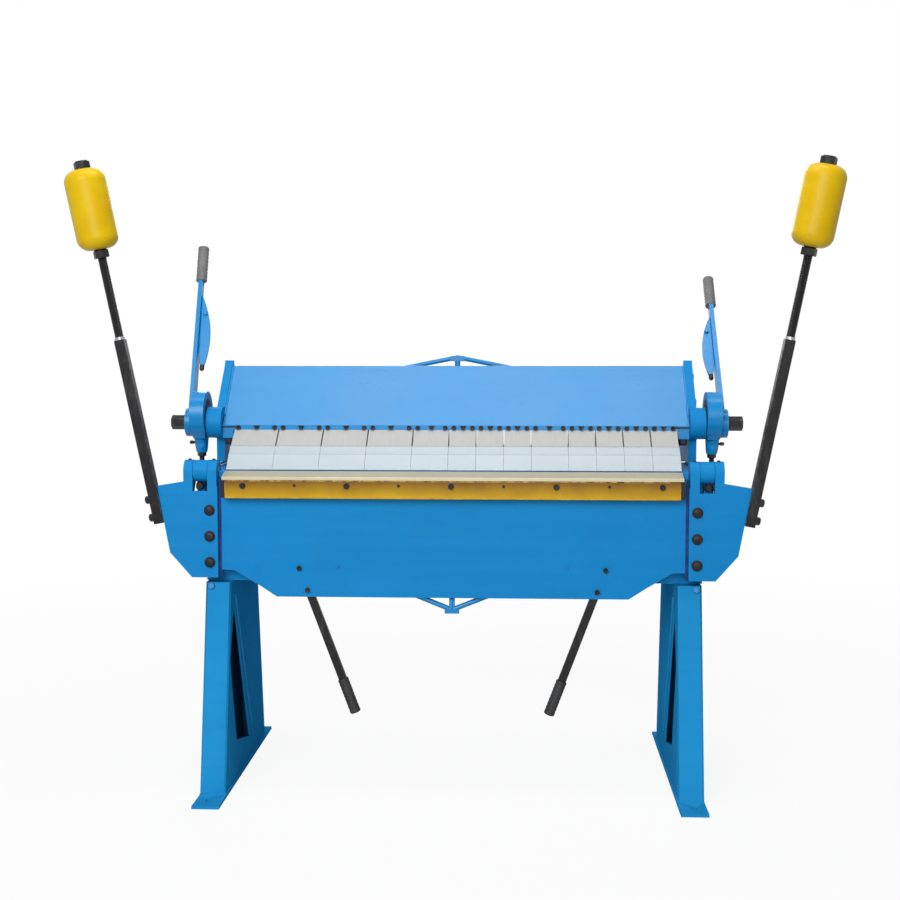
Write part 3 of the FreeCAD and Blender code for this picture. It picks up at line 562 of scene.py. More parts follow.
def dress(node, width, segments=2, finish=None):
    """Replaces a CAD node by a copy with rounded edges."""
    mesh = merged_copy(node)
    soften(mesh, width, segments)
    remake(node, mesh, finish)


class Solid:
    """One separate solid of a CAD node: its points, box and side of the machine."""

    def __init__(self, points):
        self.points = points
        self.low = Vector([min(places) for places in zip(*points)])
        self.high = Vector([max(places) for places in zip(*points)])
        self.centre = (self.low + self.high) / 2
        self.side = "left" if self.centre.x < 0 else "right"

    def span(self, direction):
        """Start point, length and radius along an axis through the centre."""
        heights = [(point - self.centre).dot(direction) for point in self.points]
        radius = max((point - self.centre - direction * height).length
                     for point, height in zip(self.points, heights))
        return self.centre + direction * min(heights), max(heights) - min(heights), radius


def solids(node):
    """The separate solids of a CAD node, from left to right."""
    mesh = bmesh.new()
    mesh.from_mesh(NODES[node].data)
    bmesh.ops.remove_doubles(mesh, verts=mesh.verts, dist=MERGE)
    unseen = set(mesh.verts)
    found = []
    while unseen:
        group = connected([next(iter(unseen))])
        unseen.difference_update(group)
        found.append(Solid([vert.co.copy() for vert in group]))
    mesh.free()
    return sorted(found, key=lambda solid: tuple(solid.centre))


def along(start, direction):
    """A matrix whose +Z runs along a direction from a start point."""
    z = direction.normalized()
    x = AXIS_Y if abs(z.y) < 0.9 else AXIS_X
    y = z.cross(x).normalized()
    x = y.cross(z)
    turn = Matrix((x, y, z)).transposed().to_4x4()
    return Matrix.Translation(start) @ turn


def turned(mesh, profile, place, steps=ROD_STEPS):
    """Spins a profile of (radius, height) points about the local Z of a matrix."""
    verts = [mesh.verts.new((radius, 0, height)) for radius, height in profile]
    edges = [mesh.edges.new(pair) for pair in zip(verts, verts[1:])]
    made = bmesh.ops.spin(mesh, geom=verts + edges, angle=math.tau, steps=steps, use_merge=True,
                          axis=AXIS_Z, cent=(0, 0, 0))
    fresh = [v for v in made["geom_last"] if isinstance(v, bmesh.types.BMVert)]
    group = connected(fresh + verts)
    bmesh.ops.remove_doubles(mesh, verts=group, dist=MERGE)
    group = connected([v for v in group if v.is_valid])
    bmesh.ops.transform(mesh, matrix=place, verts=group)
    return group


def connected(verts):
    """All vertices joined to the given ones."""
    seen = set(v for v in verts if v.is_valid)
    stack = list(seen)
    while stack:
        vert = stack.pop()
        for edge in vert.link_edges:
            other = edge.other_vert(vert)
            if other not in seen:
                seen.add(other)
                stack.append(other)
    return list(seen)


def prism(mesh, sides, radius, height, place, edge=0.0):
    """A prism standing on the local XY plane, with its end rims bevelled."""
    lift = Matrix.Translation((0, 0, height / 2))
    base = bmesh.ops.create_cone(mesh, cap_ends=True, segments=sides, radius1=radius,
                                 radius2=radius, depth=height, matrix=lift)["verts"]
    if edge:
        rims = {e for v in base for e in v.link_edges
                if abs(e.verts[0].co.z - e.verts[1].co.z) < MERGE}
        base = connected(bevel(mesh, rims, edge)["verts"])
    bmesh.ops.transform(mesh, matrix=place, verts=base)


def washer(mesh, place, radius, thickness):
    """A flat ring's outer shape, with a worn rim."""
    turned(mesh, [(0, 0), (radius, 0), (radius, thickness * 0.7), (radius * 0.95, thickness),
                  (0, thickness)], place, WASHER_STEPS)


def hex_head(mesh, seat, direction, flats, height, washer_r=0.0):
    """Hexagon head with a chamfered crown, on a washer if it has one."""
    place = along(seat, direction)
    lift = 0.0
    if washer_r:
        washer(mesh, place, washer_r, WASHER_T)
        lift = WASHER_T
    rise = height - lift
    prism(mesh, 6, flats / math.sqrt(3), rise * HEX_BODY, place @ Matrix.Translation((0, 0, lift)),
          rise * HEX_BEVEL)
    crown = flats / 2
    base = lift + rise * CROWN_FROM
    turned(mesh, [(0, base), (crown * CROWN_FOOT, base), (crown * CROWN_TOP, height), (0, height)],
           place, HEAD_STEPS)


def hex_for(mesh, solid, direction):
    """A hexagon head where a CAD head is, measured from it."""
    seat, height, radius = solid.span(direction)
    hex_head(mesh, seat, direction, radius * math.sqrt(3), height)


def socket_head(mesh, seat, direction, radius, height):
    """Round head with a hexagonal socket, bevelled at its rim."""
    place = along(seat, direction)
    socket = radius * SOCKET_WIDTH
    floor_z = height * SOCKET_FLOOR
    rim = turned(mesh, [(0, 0), (radius, 0), (radius, height * 0.8), (radius * 0.88, height),
                        (socket * 1.25, height)], place, HEAD_STEPS)
    cup = turned(mesh, [(socket, height * 0.96), (socket, floor_z), (0, floor_z)], place, 6)
    loops = {edge for vert in rim + cup for edge in vert.link_edges if edge.is_boundary}
    bmesh.ops.bridge_loops(mesh, edges=list(loops))


def socket_for(mesh, solid, direction, share=1.0):
    """A socket head where a CAD head is, wider or narrower by a share."""
    seat, height, radius = solid.span(direction)
    socket_head(mesh, seat, direction, radius * share, height)


def block(mesh, corner, far_corner, edge):
    """A rectangular block between two corners, with bevelled edges."""
    verts = bmesh.ops.create_cube(mesh, size=1.0)["verts"]
    size = [abs(far - near) for near, far in zip(corner, far_corner)]
    bmesh.ops.scale(mesh, vec=size, verts=verts)
    rims = {item for vert in verts for item in vert.link_edges}
    made = bevel(mesh, rims, edge, clamp=False)["verts"]
    bmesh.ops.translate(mesh, vec=(corner + far_corner) / 2, verts=connected(made))


def thread(mesh, start, direction, length, radius, pitch, steps=THREAD_STEPS):
    """A screw's ridged shank, turned from a zigzag."""
    count = round(length / pitch)
    root = radius - pitch * THREAD_DEPTH
    profile = [(0, 0)]
    for turn in range(count):
        profile += [(root, length * turn / count), (radius, length * (turn + 0.5) / count)]
    profile += [(root, length), (0, length)]
    turned(mesh, profile, along(start, direction), steps)


def bead(mesh, start, end, radius):
    """Weld bead: a rippled rod half sunk in its corner."""
    length = (end - start).length
    count = round(length / radius)
    profile = [(0, 0)]
    for step in range(count + 1):
        profile.append((radius * (1.0 if step % 2 else BEAD_RIPPLE), length * step / count))
    profile.append((0, length))
    turned(mesh, profile, along(start, end - start), BEAD_STEPS)


def sleeve(mesh, start, direction, length, radius):
    """Moulded grip: straight, with shallow ribs and a flat end with a rounded rim."""
    rim = radius * GRIP_RIM
    profile = [(0, 0), (radius * 0.93, 0), (radius, radius * 0.12)]
    pitch = (length - rim * 3) / GRIP_RIBS
    for rib in range(GRIP_RIBS):
        base = rim + pitch * rib
        profile += [(radius, base + pitch * 0.1), (radius * 0.965, base + pitch * 0.2),
                    (radius * 0.965, base + pitch * 0.8), (radius, base + pitch * 0.9)]
    for step in range(GRIP_RIM_STEPS + 1):
        angle = math.pi / 2 * step / GRIP_RIM_STEPS
        profile.append((radius - rim + rim * math.cos(angle), length - rim + rim * math.sin(angle)))
    profile.append((0, length))
    turned(mesh, profile, along(start, direction))


# ---- settings
def length_property(name, description, size):
    return bpy.props.FloatProperty(name=name, description=description, default=size, unit="LENGTH")


class FolderSizes(bpy.types.PropertyGroup):
    """Sizes of edges and small parts."""
    casting_edge: length_property("Casting edge", "Edge radius of castings", 0.003)
    plate_edge: length_property("Plate edge", "Edge radius of cut plates", 0.0014)
    ground_edge: length_property("Ground edge", "Edge break of ground steel", 0.0005)
    rod_pitch: length_property("Rod pitch", "Thread pitch of the balance rods", 0.004)
    tie_pitch: length_property("Tie rod pitch", "Thread pitch of the tie rods", 0.0025)
    weld: length_property("Weld", "Radius of a weld bead", 0.0035)
    frame_bolt: length_property("Frame bolt", "Width across flats of the frame's bolts", 0.019)


def colour_property(name, colour):
    return bpy.props.FloatVectorProperty(name=name, description=name + " colour", subtype="COLOR",
                                         size=3, min=0.0, max=1.0, default=colour)


class FolderColours(bpy.types.PropertyGroup):
    """Base colours of the finishes."""
    blue_paint: colour_property("Blue enamel", (0.0, 0.168, 0.41))
    casting_paint: colour_property("Casting enamel", (0.0, 0.165, 0.41))
    # Painted shade: dark colour of the strips in the gaps beside the wings
    joint_seal: colour_property("Painted gap shade", (0.02, 0.045, 0.19))
    leg_paint: colour_property("Stand enamel", (0.012, 0.197, 0.436))
    yellow_paint: colour_property("Nose bar enamel", (0.43, 0.262, 0.003))
    weight_paint: colour_property("Counterweight enamel", (0.53, 0.365, 0.001))
    ground_steel: colour_property("Ground steel", (0.395, 0.362, 0.25))
    finger_steel: colour_property("Finger steel", (0.335, 0.385, 0.415))
    bright_steel: colour_property("Turned steel", (0.42, 0.42, 0.44))
    blackened_steel: colour_property("Blackened steel", (0.008, 0.008, 0.009))
    black_grip: colour_property("Handle sleeve", (0.014, 0.014, 0.015))
    lever_grip: colour_property("Lever sleeve", (0.088, 0.088, 0.09))


# ---- pieces
def dress_all(width, *nodes, finish=None):
    """Dresses several nodes in the same way."""
    for node in nodes:
        dress(node, width, finish=finish)


def mirrored(point, sign):
    """The same point on the left or right of the machine."""
    return Vector((point.x * sign, point.y, point.z))


def faces_x(node, sign):
    """X of the inner and outer face of a CAD node at one side."""
    low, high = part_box(node)
    return (low.x, high.x) if sign > 0 else (high.x, low.x)


def lever_line(side):
    """Direction of a clamp lever, from its shaft to its grip."""
    low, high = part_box("lever_grip_" + side)
    reach = (low + high) / 2 - JOINT_AT["lever_%s_swing" % side]
    return Vector((0, reach.y, reach.z)).normalized()


def balance_line(side):
    """Direction of a balance arm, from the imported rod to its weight."""
    rod = next(solid for solid in solids("balance_rods") if solid.side == side)
    low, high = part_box("counterweight_" + side)
    return ((low + high) / 2 - rod.centre).normalized()


def outward_of(side):
    """Direction across a balance arm, away from the machine."""
    line = balance_line(side)
    return Vector((line.z, 0, -line.x)).normalized() * SIDES[side]


class FOLDER_OT_frame(bpy.types.Operator):
    """Bed, end frames, legs, tie anchors, pivot pins, welds and frame bolts"""
    bl_idname = "folder.frame"
    bl_label = "Frame castings"

    def execute(self, context):
        sizes = context.scene.folder_sizes
        dress_all(sizes.plate_edge, "bed", "tie_anchors", finish="casting_paint")
        dress("pivot_pins", sizes.plate_edge)
        dress_all(sizes.casting_edge, "end_frame_left", "end_frame_right", finish="casting_paint")
        welds = bmesh.new()
        bolts = bmesh.new()
        for side, sign in SIDES.items():
            self.leg(side, sign, sizes.plate_edge)
            self.foot_welds(welds, side, sign, sizes.weld)
            ends = [Vector((LEG_INNER_X * sign, y, z)) for y, z in BRACE_WELD]
            bead(welds, *ends, sizes.weld * BRACE_WELD_SHARE)
            self.frame_bolts(bolts, side, sign, sizes.frame_bolt)
        finish_piece("foot_welds", welds, "frame", "blue_paint", "leg_paint")
        finish_piece("frame_bolts", bolts, "frame", "blackened_steel")
        return {"FINISHED"}

    def leg(self, side, sign, width):
        """Folded leg, with the window in its inner side cut to its full outline."""
        node = "leg_" + side
        mesh = merged_copy(node)
        planes = [LEG_INNER_X * sign, (LEG_INNER_X + LEG_PLATE) * sign]
        for x in planes:
            front = [nearest(mesh, (x, *PACKED_WINDOW[corner])) for corner in (0, 2)]
            bmesh.ops.subdivide_edges(mesh, edges=[mesh.edges.get(front)], cuts=1)
        for x in planes:
            for packed, corner in zip(PACKED_WINDOW, WINDOW):
                nearest(mesh, (x, *packed)).co = Vector((x, *corner))
            plate = [face for face in mesh.faces
                     if all(abs(vert.co.x - x) < MERGE for vert in face.verts)]
            bmesh.ops.delete(mesh, geom=plate, context="FACES_ONLY")
            for loose in [edge for edge in mesh.edges if edge.is_wire]:
                mesh.edges.remove(loose)
            rims = [edge for edge in mesh.edges if edge.is_boundary]
            bmesh.ops.triangle_fill(mesh, use_beauty=True, use_dissolve=False, edges=rims)
        bmesh.ops.connect_verts(mesh, verts=[nearest(mesh, (x, *WINDOW[1])) for x in planes])
        bmesh.ops.recalc_face_normals(mesh, faces=mesh.faces)
        bmesh.ops.dissolve_limit(mesh, angle_limit=FLAT_ANGLE, verts=mesh.verts, edges=mesh.edges)
        soften(mesh, width)
        remake(node, mesh, "leg_paint")

    def foot_welds(self, mesh, side, sign, radius):
        """Beads where a leg meets its foot plate."""
        inner, outer = faces_x("leg_" + side, sign)
        inner += sign * FOOT_LIP
        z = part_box("leg_" + side)[0].z + FOOT_PLATE
        front, rear = LEG_FOOT_Y
        bead(mesh, Vector((inner, front, z)), Vector((inner, rear, z)), radius)
        for y in LEG_FOOT_Y:
            bead(mesh, Vector((inner, y, z)), Vector((outer, y, z)), radius)

    def frame_bolts(self, mesh, side, sign, flats):
        """Bolts that hold an end frame to the bed, and the one under its knuckle."""
        face_x = faces_x("end_frame_" + side, sign)[1] - sign * KNUCKLE_STEP
        rise = flats * NUT_RISE
        for y in FRAME_BOLT_Y:
            for z in FRAME_BOLT_Z:
                hex_head(mesh, Vector((face_x, y, z)), AXIS_X * sign, flats, rise,
                         flats * FRAME_WASHER)
        hex_head(mesh, mirrored(KNUCKLE_BOLT, sign), -AXIS_Y, flats, rise, flats * KNUCKLE_WASHER)


class FOLDER_OT_apron(bpy.types.Operator):
    """Apron plate, wings, blade, nose bar, truss, hinge pins and handle bars"""
    bl_idname = "folder.apron"
    bl_label = "Folding apron"

    def execute(self, context):
        sizes = context.scene.folder_sizes
        dress("apron_plate", sizes.plate_edge, finish="casting_paint")
        dress_all(sizes.plate_edge, "nose_bar", "apron_truss", "handle_bars", "hinge_pins")
        self.blade(sizes.ground_edge)
        for side in SIDES:
            dress("wing_" + side, sizes.casting_edge, 3, "casting_paint")
        self.joints_and_packers()
        return {"FINISHED"}

    def blade(self, width):
        """Folding blade, trimmed at both ends."""
        mesh = merged_copy("folding_blade")
        bmesh.ops.scale(mesh, vec=(BLADE_SHARE, 1, 1), verts=mesh.verts)
        soften(mesh, width)
        remake("folding_blade", mesh)

    def joints_and_packers(self):
        """Dark strips painted as the shade in the gaps between plate and wings, and the packers
        beside the nose bar.
        """
        gap_shade_strips = bmesh.new()
        packers = bmesh.new()
        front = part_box("apron_plate")[0].y
        low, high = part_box("nose_bar")
        for side, sign in SIDES.items():
            edge = faces_x("wing_" + side, sign)[0]
            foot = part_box("wing_" + side)[0].z + STRIP_T
            # Painted shade: a dark strip along the wing's inner edge stands for the shadow in the
            # gap
            block(gap_shade_strips, Vector((edge - sign * STRIP_W, front - STRIP_T, foot)),
                  Vector((edge, front + STRIP_T, high.z)), STRIP_EDGE)
            end = high.x * sign
            block(packers,
                  Vector((end + sign * PACKER_GAP, front - PACKER_T, low.z + PACKER_STEP)),
                  Vector((end + sign * PACKER_W, front + STRIP_T, high.z - PACKER_GAP)), PACKER_GAP)
        finish_piece("wing_joints", gap_shade_strips, "apron", "blue_paint", "joint_seal")
        finish_piece("blade_packers", packers, "apron", "blackened_steel")


class FOLDER_OT_balance(bpy.types.Operator):
    """Balance arms, rods, collars and counterweights"""
    bl_idname = "folder.balance"
    bl_label = "Counterweights"

    def execute(self, context):
        sizes = context.scene.folder_sizes
        dress("balance_arms", sizes.plate_edge)
        rods = bmesh.new()
        shoulders = bmesh.new()
        arms = {solid.side: solid for solid in solids("balance_arms")}
        for rod in solids("balance_rods"):
            line = balance_line(rod.side)
            start, length, radius = rod.span(line)
            thread(rods, start, line, length, radius, sizes.rod_pitch)
            top = max((point - start).dot(line) for point in arms[rod.side].points)
            wide, end = radius * SHOULDER_R, top + SHOULDER_L
            turned(shoulders, [(0, top), (wide, top), (wide, top + SHOULDER_L * 0.9), (radius, end),
                               (0, end)], along(start, line))
        remake("balance_rods", rods, "blackened_steel")
        finish_piece("rod_shoulders", shoulders, "apron", "bright_steel")
        nuts = bmesh.new()
        for nut in solids("balance_collars"):
            hex_for(nuts, nut, balance_line(nut.side))
        remake("balance_collars", nuts)
        for side in SIDES:
            self.weight(side)
        return {"FINISHED"}

    def weight(self, side):
        """Cast weight with rounded ends and a bore for its rod."""
        node = "counterweight_" + side
        line = balance_line(side)
        start, length, radius = solids(node)[0].span(line)
        bore = radius * WEIGHT_BORE
        edge = radius * WEIGHT_EDGE
        profile = [(bore, 0)]
        for step in range(WEIGHT_CORNER_STEPS + 1):
            angle = math.pi / 2 * step / WEIGHT_CORNER_STEPS
            profile.append((radius - edge + edge * math.sin(angle), edge - edge * math.cos(angle)))
        profile += [(place, length - height) for place, height in reversed(profile)]
        mesh = bmesh.new()
        turned(mesh, profile + [profile[0]], along(start, line), WEIGHT_STEPS)
        remake(node, mesh, "weight_paint")


class FOLDER_OT_beam(bpy.types.Operator):
    """Clamping beam, its end castings, truss, adjusters, bolts, painted shadow strips and welds"""
    bl_idname = "folder.beam"
    bl_label = "Clamping beam"

    def execute(self, context):
        sizes = context.scene.folder_sizes
        dress_all(sizes.plate_edge, "beam_shell", "beam_truss", "beam_adjusters")
        bolts = bmesh.new()
        end_shade_strips = bmesh.new()
        welds = bmesh.new()
        for side, sign in SIDES.items():
            node = "beam_end_" + side
            dress(node, sizes.casting_edge, finish="casting_paint")
            self.jack_and_clip(end_shade_strips, sign)
            bead(welds, mirrored(WELD_FOOT, sign), mirrored(WELD_TOP, sign), sizes.weld)
            face_x = faces_x(node, sign)[1] - sign * BOSS_STEP
            for y, z in BEAM_BOLTS:
                socket_head(bolts, Vector((face_x, y, z)), AXIS_X * sign, sizes.frame_bolt / 2,
                            BEAM_HEAD)
        finish_piece("beam_bolts", bolts, "beam", "blue_paint")
        finish_piece("beam_end_clips", end_shade_strips, "beam", "blackened_steel")
        finish_piece("beam_welds", welds, "beam", "blue_paint")
        self.truss_nuts()
        return {"FINISHED"}

    def jack_and_clip(self, mesh, sign):
        """Nut under an adjusting block, and a dark strip beside it that stands for the shadow under
        the beam's flange.
        """
        low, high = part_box("beam_adjusters")
        seat = Vector((sign * (high.x - JACK_IN), (low.y + high.y) / 2, JACK_Z))
        hex_head(mesh, seat, -AXIS_Z, JACK_NUT, JACK_NUT_H)
        inner, outer = (x * sign for x in SHADE_STRIP_X)
        # Painted shadow: a dark blackened strip put where the beam's lower flange shades the end
        # finger
        foot, top = SHADE_STRIP_Z
        block(mesh, Vector((inner, low.y - SHADE_STRIP_OUT, foot)),
              Vector((outer, low.y + SHADE_STRIP_IN, top)), SHADE_STRIP_EDGE)

    def truss_nuts(self):
        """Nuts on the ends of both truss rods."""
        for body, end, slope in TRUSS_ENDS:
            mesh = bmesh.new()
            for sign in SIDES.values():
                line = Vector((sign, 0, slope)).normalized()
                seat = mirrored(end, sign)
                hex_head(mesh, seat, line, TRUSS_NUT, TRUSS_NUT * NUT_RISE)
                thread(mesh, seat, line, TRUSS_NUT * TRUSS_STUD_L, TRUSS_NUT * TRUSS_STUD_R,
                       TRUSS_NUT * TRUSS_PITCH)
            finish_piece(body + "_truss_nuts", mesh, body, "blackened_steel")


class FOLDER_OT_fingers(bpy.types.Operator):
    """The row of clamping fingers"""
    bl_idname = "folder.fingers"
    bl_label = "Fingers"

    def execute(self, context):
        for node in FINGERS:
            dress(node, context.scene.folder_sizes.ground_edge, 1, "finger_steel")
        return {"FINISHED"}


class FOLDER_OT_clamps(bpy.types.Operator):
    """Eccentrics, straps, tie rods and clamp levers"""
    bl_idname = "folder.clamps"
    bl_label = "Eccentric clamps"

    def execute(self, context):
        sizes = context.scene.folder_sizes
        for side, sign in SIDES.items():
            dress("strap_" + side, sizes.casting_edge)
            for node in ("lever_arm_", "lever_leaf_", "eccentric_"):
                dress(node + side, sizes.plate_edge)
            self.tie_rod(side, sign, sizes.tie_pitch)
            self.leaf_bolts(side)
        return {"FINISHED"}

    def tie_rod(self, side, sign, pitch):
        """Threaded rod, lock nut and cross pin, and the lock screw of the strap's stem."""
        node = "tie_rod_" + side
        rod, lock = sorted(solids(node), key=lambda solid: solid.low.z)
        foot = Vector((JOINT_AT["link_%s_turn" % side].x, rod.centre.y, rod.low.z + TIE_PIN_R))
        outward = AXIS_X * sign
        mesh = bmesh.new()
        thread(mesh, foot, AXIS_Z, rod.high.z - foot.z, TIE_R, pitch)
        nut_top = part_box("strap_" + side)[0].z
        hex_head(mesh, Vector((foot.x, foot.y, nut_top)), -AXIS_Z, TIE_NUT, TIE_NUT_H)
        pin_start = rod.low.x if sign > 0 else rod.high.x
        length = rod.high.x - rod.low.x
        edge = TIE_PIN_R * PIN_BEVEL
        turned(mesh, [(0, 0), (TIE_PIN_R - edge, 0), (TIE_PIN_R, edge), (TIE_PIN_R, length - edge),
                      (TIE_PIN_R - edge, length), (0, length)],
               along(Vector((pin_start, foot.y, foot.z)), outward), WASHER_STEPS)
        start, reach, radius = lock.span(outward)
        thread(mesh, start, outward, reach * LOCK_SHANK_L, radius * LOCK_SHANK_R,
               pitch * LOCK_PITCH, LOCK_STEPS)
        hex_head(mesh, start + outward * reach * LOCK_HEAD_FROM, outward, radius * math.sqrt(3),
                 reach * (1 - LOCK_HEAD_FROM))
        remake(node, mesh)

    def leaf_bolts(self, side):
        """Cap bolt on the leaf and the stop screw in its lower end."""
        node = "lever_bolts_" + side
        line = lever_line(side)
        stop, cap = sorted(solids(node), key=lambda solid: solid.centre.z)
        mesh = bmesh.new()
        hex_for(mesh, stop, -line)
        remake(node, mesh)
        painted = bmesh.new()
        hex_for(painted, cap, Vector((0, -line.z, line.y)))
        finish_piece("leaf_bolt_" + side, painted, BODY_OF[node], "blue_paint")


class FOLDER_OT_fasteners(bpy.types.Operator):
    """Cap bolts, screws and set screws"""
    bl_idname = "folder.fasteners"
    bl_label = "Fasteners"

    def execute(self, context):
        self.heads("nose_screws", socket_for, lambda solid: -AXIS_Y)
        self.handle_bolts()
        self.heads("ear_screws", socket_for, lambda solid: AXIS_Z)
        self.heads("arm_bolts", hex_for, lambda solid: outward_of(solid.side))
        self.heads("leg_bolts", hex_for, self.leg_bolt_axis)
        self.wing_bolts()
        self.finger_screws()
        return {"FINISHED"}

    def leg_bolt_axis(self, solid):
        """Out of the leg's slanted front, or up where a bolt stands on the top flange."""
        bed_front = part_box("bed")[0].y
        if solid.centre.y >= bed_front:
            return AXIS_Z
        low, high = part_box("leg_right")
        top = bed_front - LEG_FRONT_STEP
        slant = Vector((0, LEG_FOOT_Y[0] - top, low.z + FOOT_PLATE - high.z))
        return Vector((0, slant.z, -slant.y)).normalized()

    def heads(self, node, head_for, direction_of):
        """Socket screws or hexagon heads where the CAD has plain heads."""
        mesh = bmesh.new()
        for solid in solids(node):
            head_for(mesh, solid, direction_of(solid))
        remake(node, mesh)

    def handle_bolts(self):
        """Cap screws on painted washers, and small painted set screws beside them."""
        bolts = bmesh.new()
        painted = bmesh.new()
        for solid in solids("handle_bolts"):
            seat, height, radius = solid.span(-AXIS_Y)
            if radius < HANDLE_BOLT_FROM:
                socket_for(painted, solid, -AXIS_Y)
                continue
            rise = height * BOLT_WASHER_H
            washer(painted, along(seat, -AXIS_Y), radius, rise)
            socket_head(bolts, seat - AXIS_Y * rise, -AXIS_Y, radius * BOLT_HEAD_R, height - rise)
        remake("handle_bolts", bolts)
        finish_piece("handle_washers", painted, "apron", "blue_paint")

    def wing_bolts(self):
        """Cap bolts with washers, and their shanks through the apron."""
        mesh = bmesh.new()
        for solid in solids("wing_bolts"):
            seat = Vector((solid.centre.x, solid.low.y + WING_HEAD, solid.centre.z))
            hex_head(mesh, seat, -AXIS_Y, WING_WASHER * WING_FLATS, WING_HEAD, WING_WASHER)
            prism(mesh, HEAD_STEPS, WING_WASHER * WING_SHANK, solid.high.y - seat.y,
                  along(seat, AXIS_Y))
        remake("wing_bolts", mesh)

    def finger_screws(self):
        """Centre bolt with its clip and two set screws of each finger."""
        mesh = bmesh.new()
        for solid in solids("finger_screws"):
            if solid.high.x - solid.low.x < CLIP_FROM:
                socket_for(mesh, solid, -AXIS_Y, SCREW_SHARE)
                continue
            middle = Vector((solid.centre.x, solid.high.y, solid.low.z + CLIP_BOLT_R))
            socket_head(mesh, middle, -AXIS_Y, CLIP_BOLT_R * SCREW_SHARE,
                        solid.high.y - solid.low.y)
            block(mesh, Vector((solid.low.x, solid.low.y, solid.high.z - CLIP_H)),
                  solid.high.copy(), CLIP_EDGE)
        remake("finger_screws", mesh)


class FOLDER_OT_grips(bpy.types.Operator):
    """Sleeves on the apron handles and clamp levers"""
    bl_idname = "folder.grips"
    bl_label = "Grips"

    def execute(self, context):
        mesh = bmesh.new()
        for solid in solids("handle_grips"):
            inward = -SIDES[solid.side]
            line = Vector((inward * math.sin(HANDLE_LEAN), 0, -math.cos(HANDLE_LEAN)))
            self.sleeve_for(mesh, solid, line)
        remake("handle_grips", mesh)
        for side in SIDES:
            node = "lever_grip_" + side
            mesh = bmesh.new()
            self.sleeve_for(mesh, solids(node)[0], lever_line(side))
            remake(node, mesh, "lever_grip")
        return {"FINISHED"}

    def sleeve_for(self, mesh, solid, line):
        """A ribbed sleeve where a CAD sleeve is, measured from it."""
        start, length, radius = solid.span(line)
        sleeve(mesh, start, line, length, radius)


# ---- stage
LENS = 55.2
SENSOR = 36.0
CAMERA_PLACE = Vector((0.1795, -3.9194, 1.2049))
CAMERA_YAW = 0.0494
CAMERA_PITCH = 0.0715
WHITE = (1.0, 1.0, 1.0)
FLOOR_SIZE = 40.0
FLOOR_ROUGHNESS = 0.9
FLOOR_COLOUR = (0.56, 0.56, 0.57)
FLOOR_WHITE = 0.9
FLOOR_FADE = (1.3, 4.0)
SKY_COLOUR = (0.95, 0.97, 1.0)
SKY_STRENGTH = 0.24
LAMP_AIM = Vector((0, 0, 0.9))
LAMPS = (
    ("key_lamp", (-1.7, -5.2, 3.6), (3.0, 3.0), 244.0),
    ("fill_lamp", (0.1, -5.4, 2.0), (3.2, 3.2), 137.0),
    ("top_lamp", (0.0, -0.38, 3.7), (3.0, 0.8), 58.0),
    ("back_lamp", (-0.7, 4.2, 3.0), (3.0, 3.0), 110.0),
)


def seen_directly(nodes):
    """1 for what the camera sees, directly or in a reflection or through glass."""
    camera = nodes.node("ShaderNodeLightPath", output="Is Camera Ray")
    glossy, through = (camera.beside(name) for name in ("Is Glossy Ray", "Is Transmission Ray"))
    return nodes.node("ShaderNodeMath", {"operation": "ADD", "use_clamp": True},
                      {0: camera + glossy, 1: through})


def sky(scene):
    """White where it is seen, softer as a light."""
    world = bpy.data.worlds.new("studio")
    world.use_nodes = True
    nodes = Nodes(world.node_tree)
    light = nodes.tree.nodes["Background"]
    nodes.connect(light.inputs["Color"], SKY_COLOUR)
    nodes.connect(light.inputs["Strength"], SKY_STRENGTH)
    white = nodes.node("ShaderNodeBackground", None, {"Color": WHITE})
    mix = nodes.node("ShaderNodeMixShader", None,
                     {0: seen_directly(nodes), 1: Value(nodes, light.outputs[0]), 2: white})
    nodes.connect(nodes.tree.nodes["World Output"].inputs[0], mix)
    scene.world = world


def floor():
    """Pale floor that keeps the shadow near the feet and fades into white."""
    mesh = bmesh.new()
    bmesh.ops.create_grid(mesh, x_segments=1, y_segments=1, size=FLOOR_SIZE / 2)
    data = bpy.data.meshes.new("studio_floor")
    mesh.to_mesh(data)
    mesh.free()
    piece = bpy.data.objects.new("studio_floor", data)
    bpy.context.scene.collection.objects.link(piece)
    shader = Shader("studio_floor", FLOOR_COLOUR, FLOOR_ROUGHNESS, 0.0, 0.0)
    away = shader.node("ShaderNodeVectorMath", {"operation": "LENGTH"}, {0: shader.place()},
                       "Value")
    white = FLOOR_WHITE + shader.ramp(away, *FLOOR_FADE) * (1 - FLOOR_WHITE)
    mix = shader.node("ShaderNodeMixShader", None,
                      {0: seen_directly(shader) * white,
                       1: Value(shader, shader.surface.outputs[0]),
                       2: shader.node("ShaderNodeEmission")})
    shader.connect(shader.tree.nodes["Material Output"].inputs[0], mix)
    data.materials.append(shader.material)


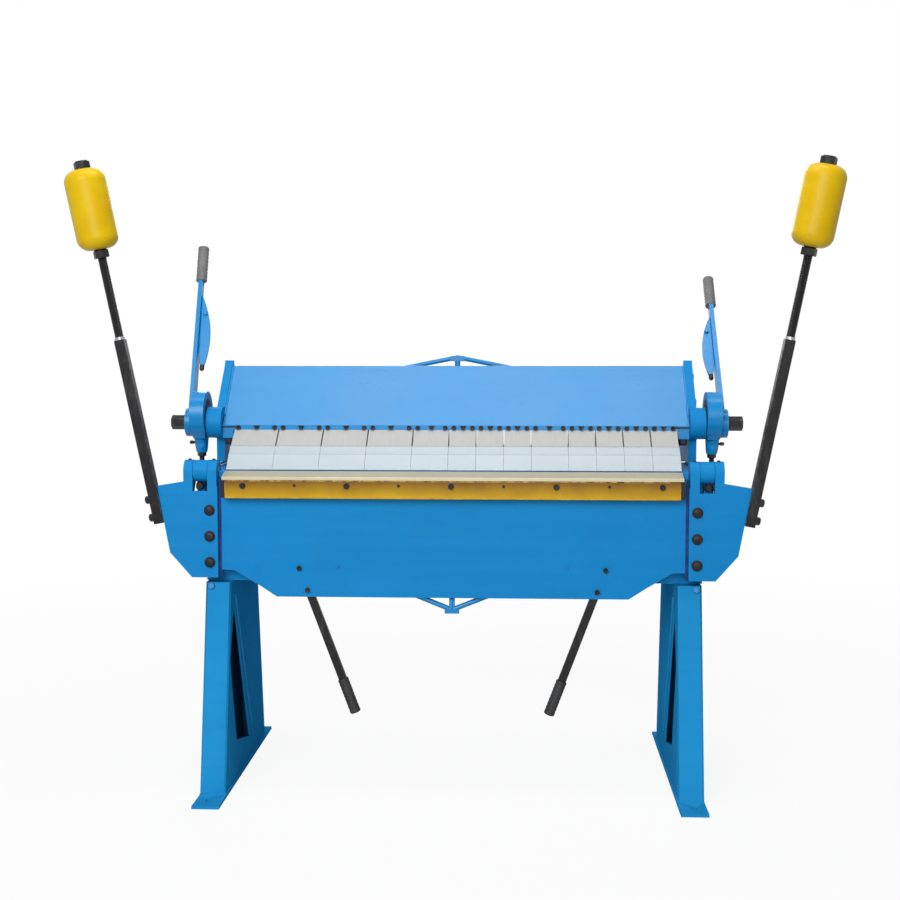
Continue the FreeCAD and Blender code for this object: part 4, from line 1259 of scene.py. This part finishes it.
class FOLDER_OT_stage(bpy.types.Operator):
    """Floor, light and camera"""
    bl_idname = "folder.stage"
    bl_label = "Stage"

    def execute(self, context):
        scene = context.scene
        floor()
        sky(scene)
        for name, place, size, power in LAMPS:
            lamp = bpy.data.lights.new(name, "AREA")
            lamp.shape = "ELLIPSE"
            lamp.size, lamp.size_y = size
            lamp.energy = power
            self.aimed(scene, name, lamp, Vector(place), LAMP_AIM - Vector(place))
        camera = bpy.data.cameras.new("camera")
        camera.lens = LENS
        camera.sensor_width = SENSOR
        level = math.cos(CAMERA_PITCH)
        view = Vector((-math.sin(CAMERA_YAW) * level, math.cos(CAMERA_YAW) * level,
                       -math.sin(CAMERA_PITCH)))
        scene.camera = self.aimed(scene, "camera", camera, CAMERA_PLACE, view)
        scene.view_settings.view_transform = "Standard"
        return {"FINISHED"}

    def aimed(self, scene, name, data, place, view):
        """An object at a place that looks along a direction."""
        holder = bpy.data.objects.new(name, data)
        turn = view.to_track_quat("-Z", "Y").to_matrix().to_4x4()
        holder.matrix_world = Matrix.Translation(place) @ turn
        scene.collection.objects.link(holder)
        return holder


PIECES = (FOLDER_OT_frame, FOLDER_OT_apron, FOLDER_OT_balance, FOLDER_OT_beam, FOLDER_OT_fingers,
          FOLDER_OT_clamps, FOLDER_OT_fasteners, FOLDER_OT_grips, FOLDER_OT_stage)


class FOLDER_PT_panel(bpy.types.Panel):
    """Sizes, colours and pieces of the folder"""
    bl_idname = "FOLDER_PT_panel"
    bl_label = "Finger folder"
    bl_space_type = "VIEW_3D"
    bl_region_type = "UI"
    bl_category = "Folder"

    def draw(self, context):
        for group in (context.scene.folder_sizes, context.scene.folder_colours):
            for name in group.__annotations__:
                self.layout.prop(group, name)
        for piece in PIECES:
            self.layout.operator(piece.bl_idname)


CLASSES = (FolderSizes, FolderColours, *PIECES, FOLDER_PT_panel)


def register():
    for item in CLASSES:
        bpy.utils.register_class(item)
    bpy.types.Scene.folder_sizes = bpy.props.PointerProperty(type=FolderSizes)
    bpy.types.Scene.folder_colours = bpy.props.PointerProperty(type=FolderColours)


def unregister():
    del bpy.types.Scene.folder_colours
    del bpy.types.Scene.folder_sizes
    for item in reversed(CLASSES):
        bpy.utils.unregister_class(item)


def main():
    register()
    bpy.ops.folder.stage()
    for piece in PIECES[:-1]:
        getattr(bpy.ops.folder, piece.bl_idname.split(".")[1])()


if __name__ == "__main__":
    main()
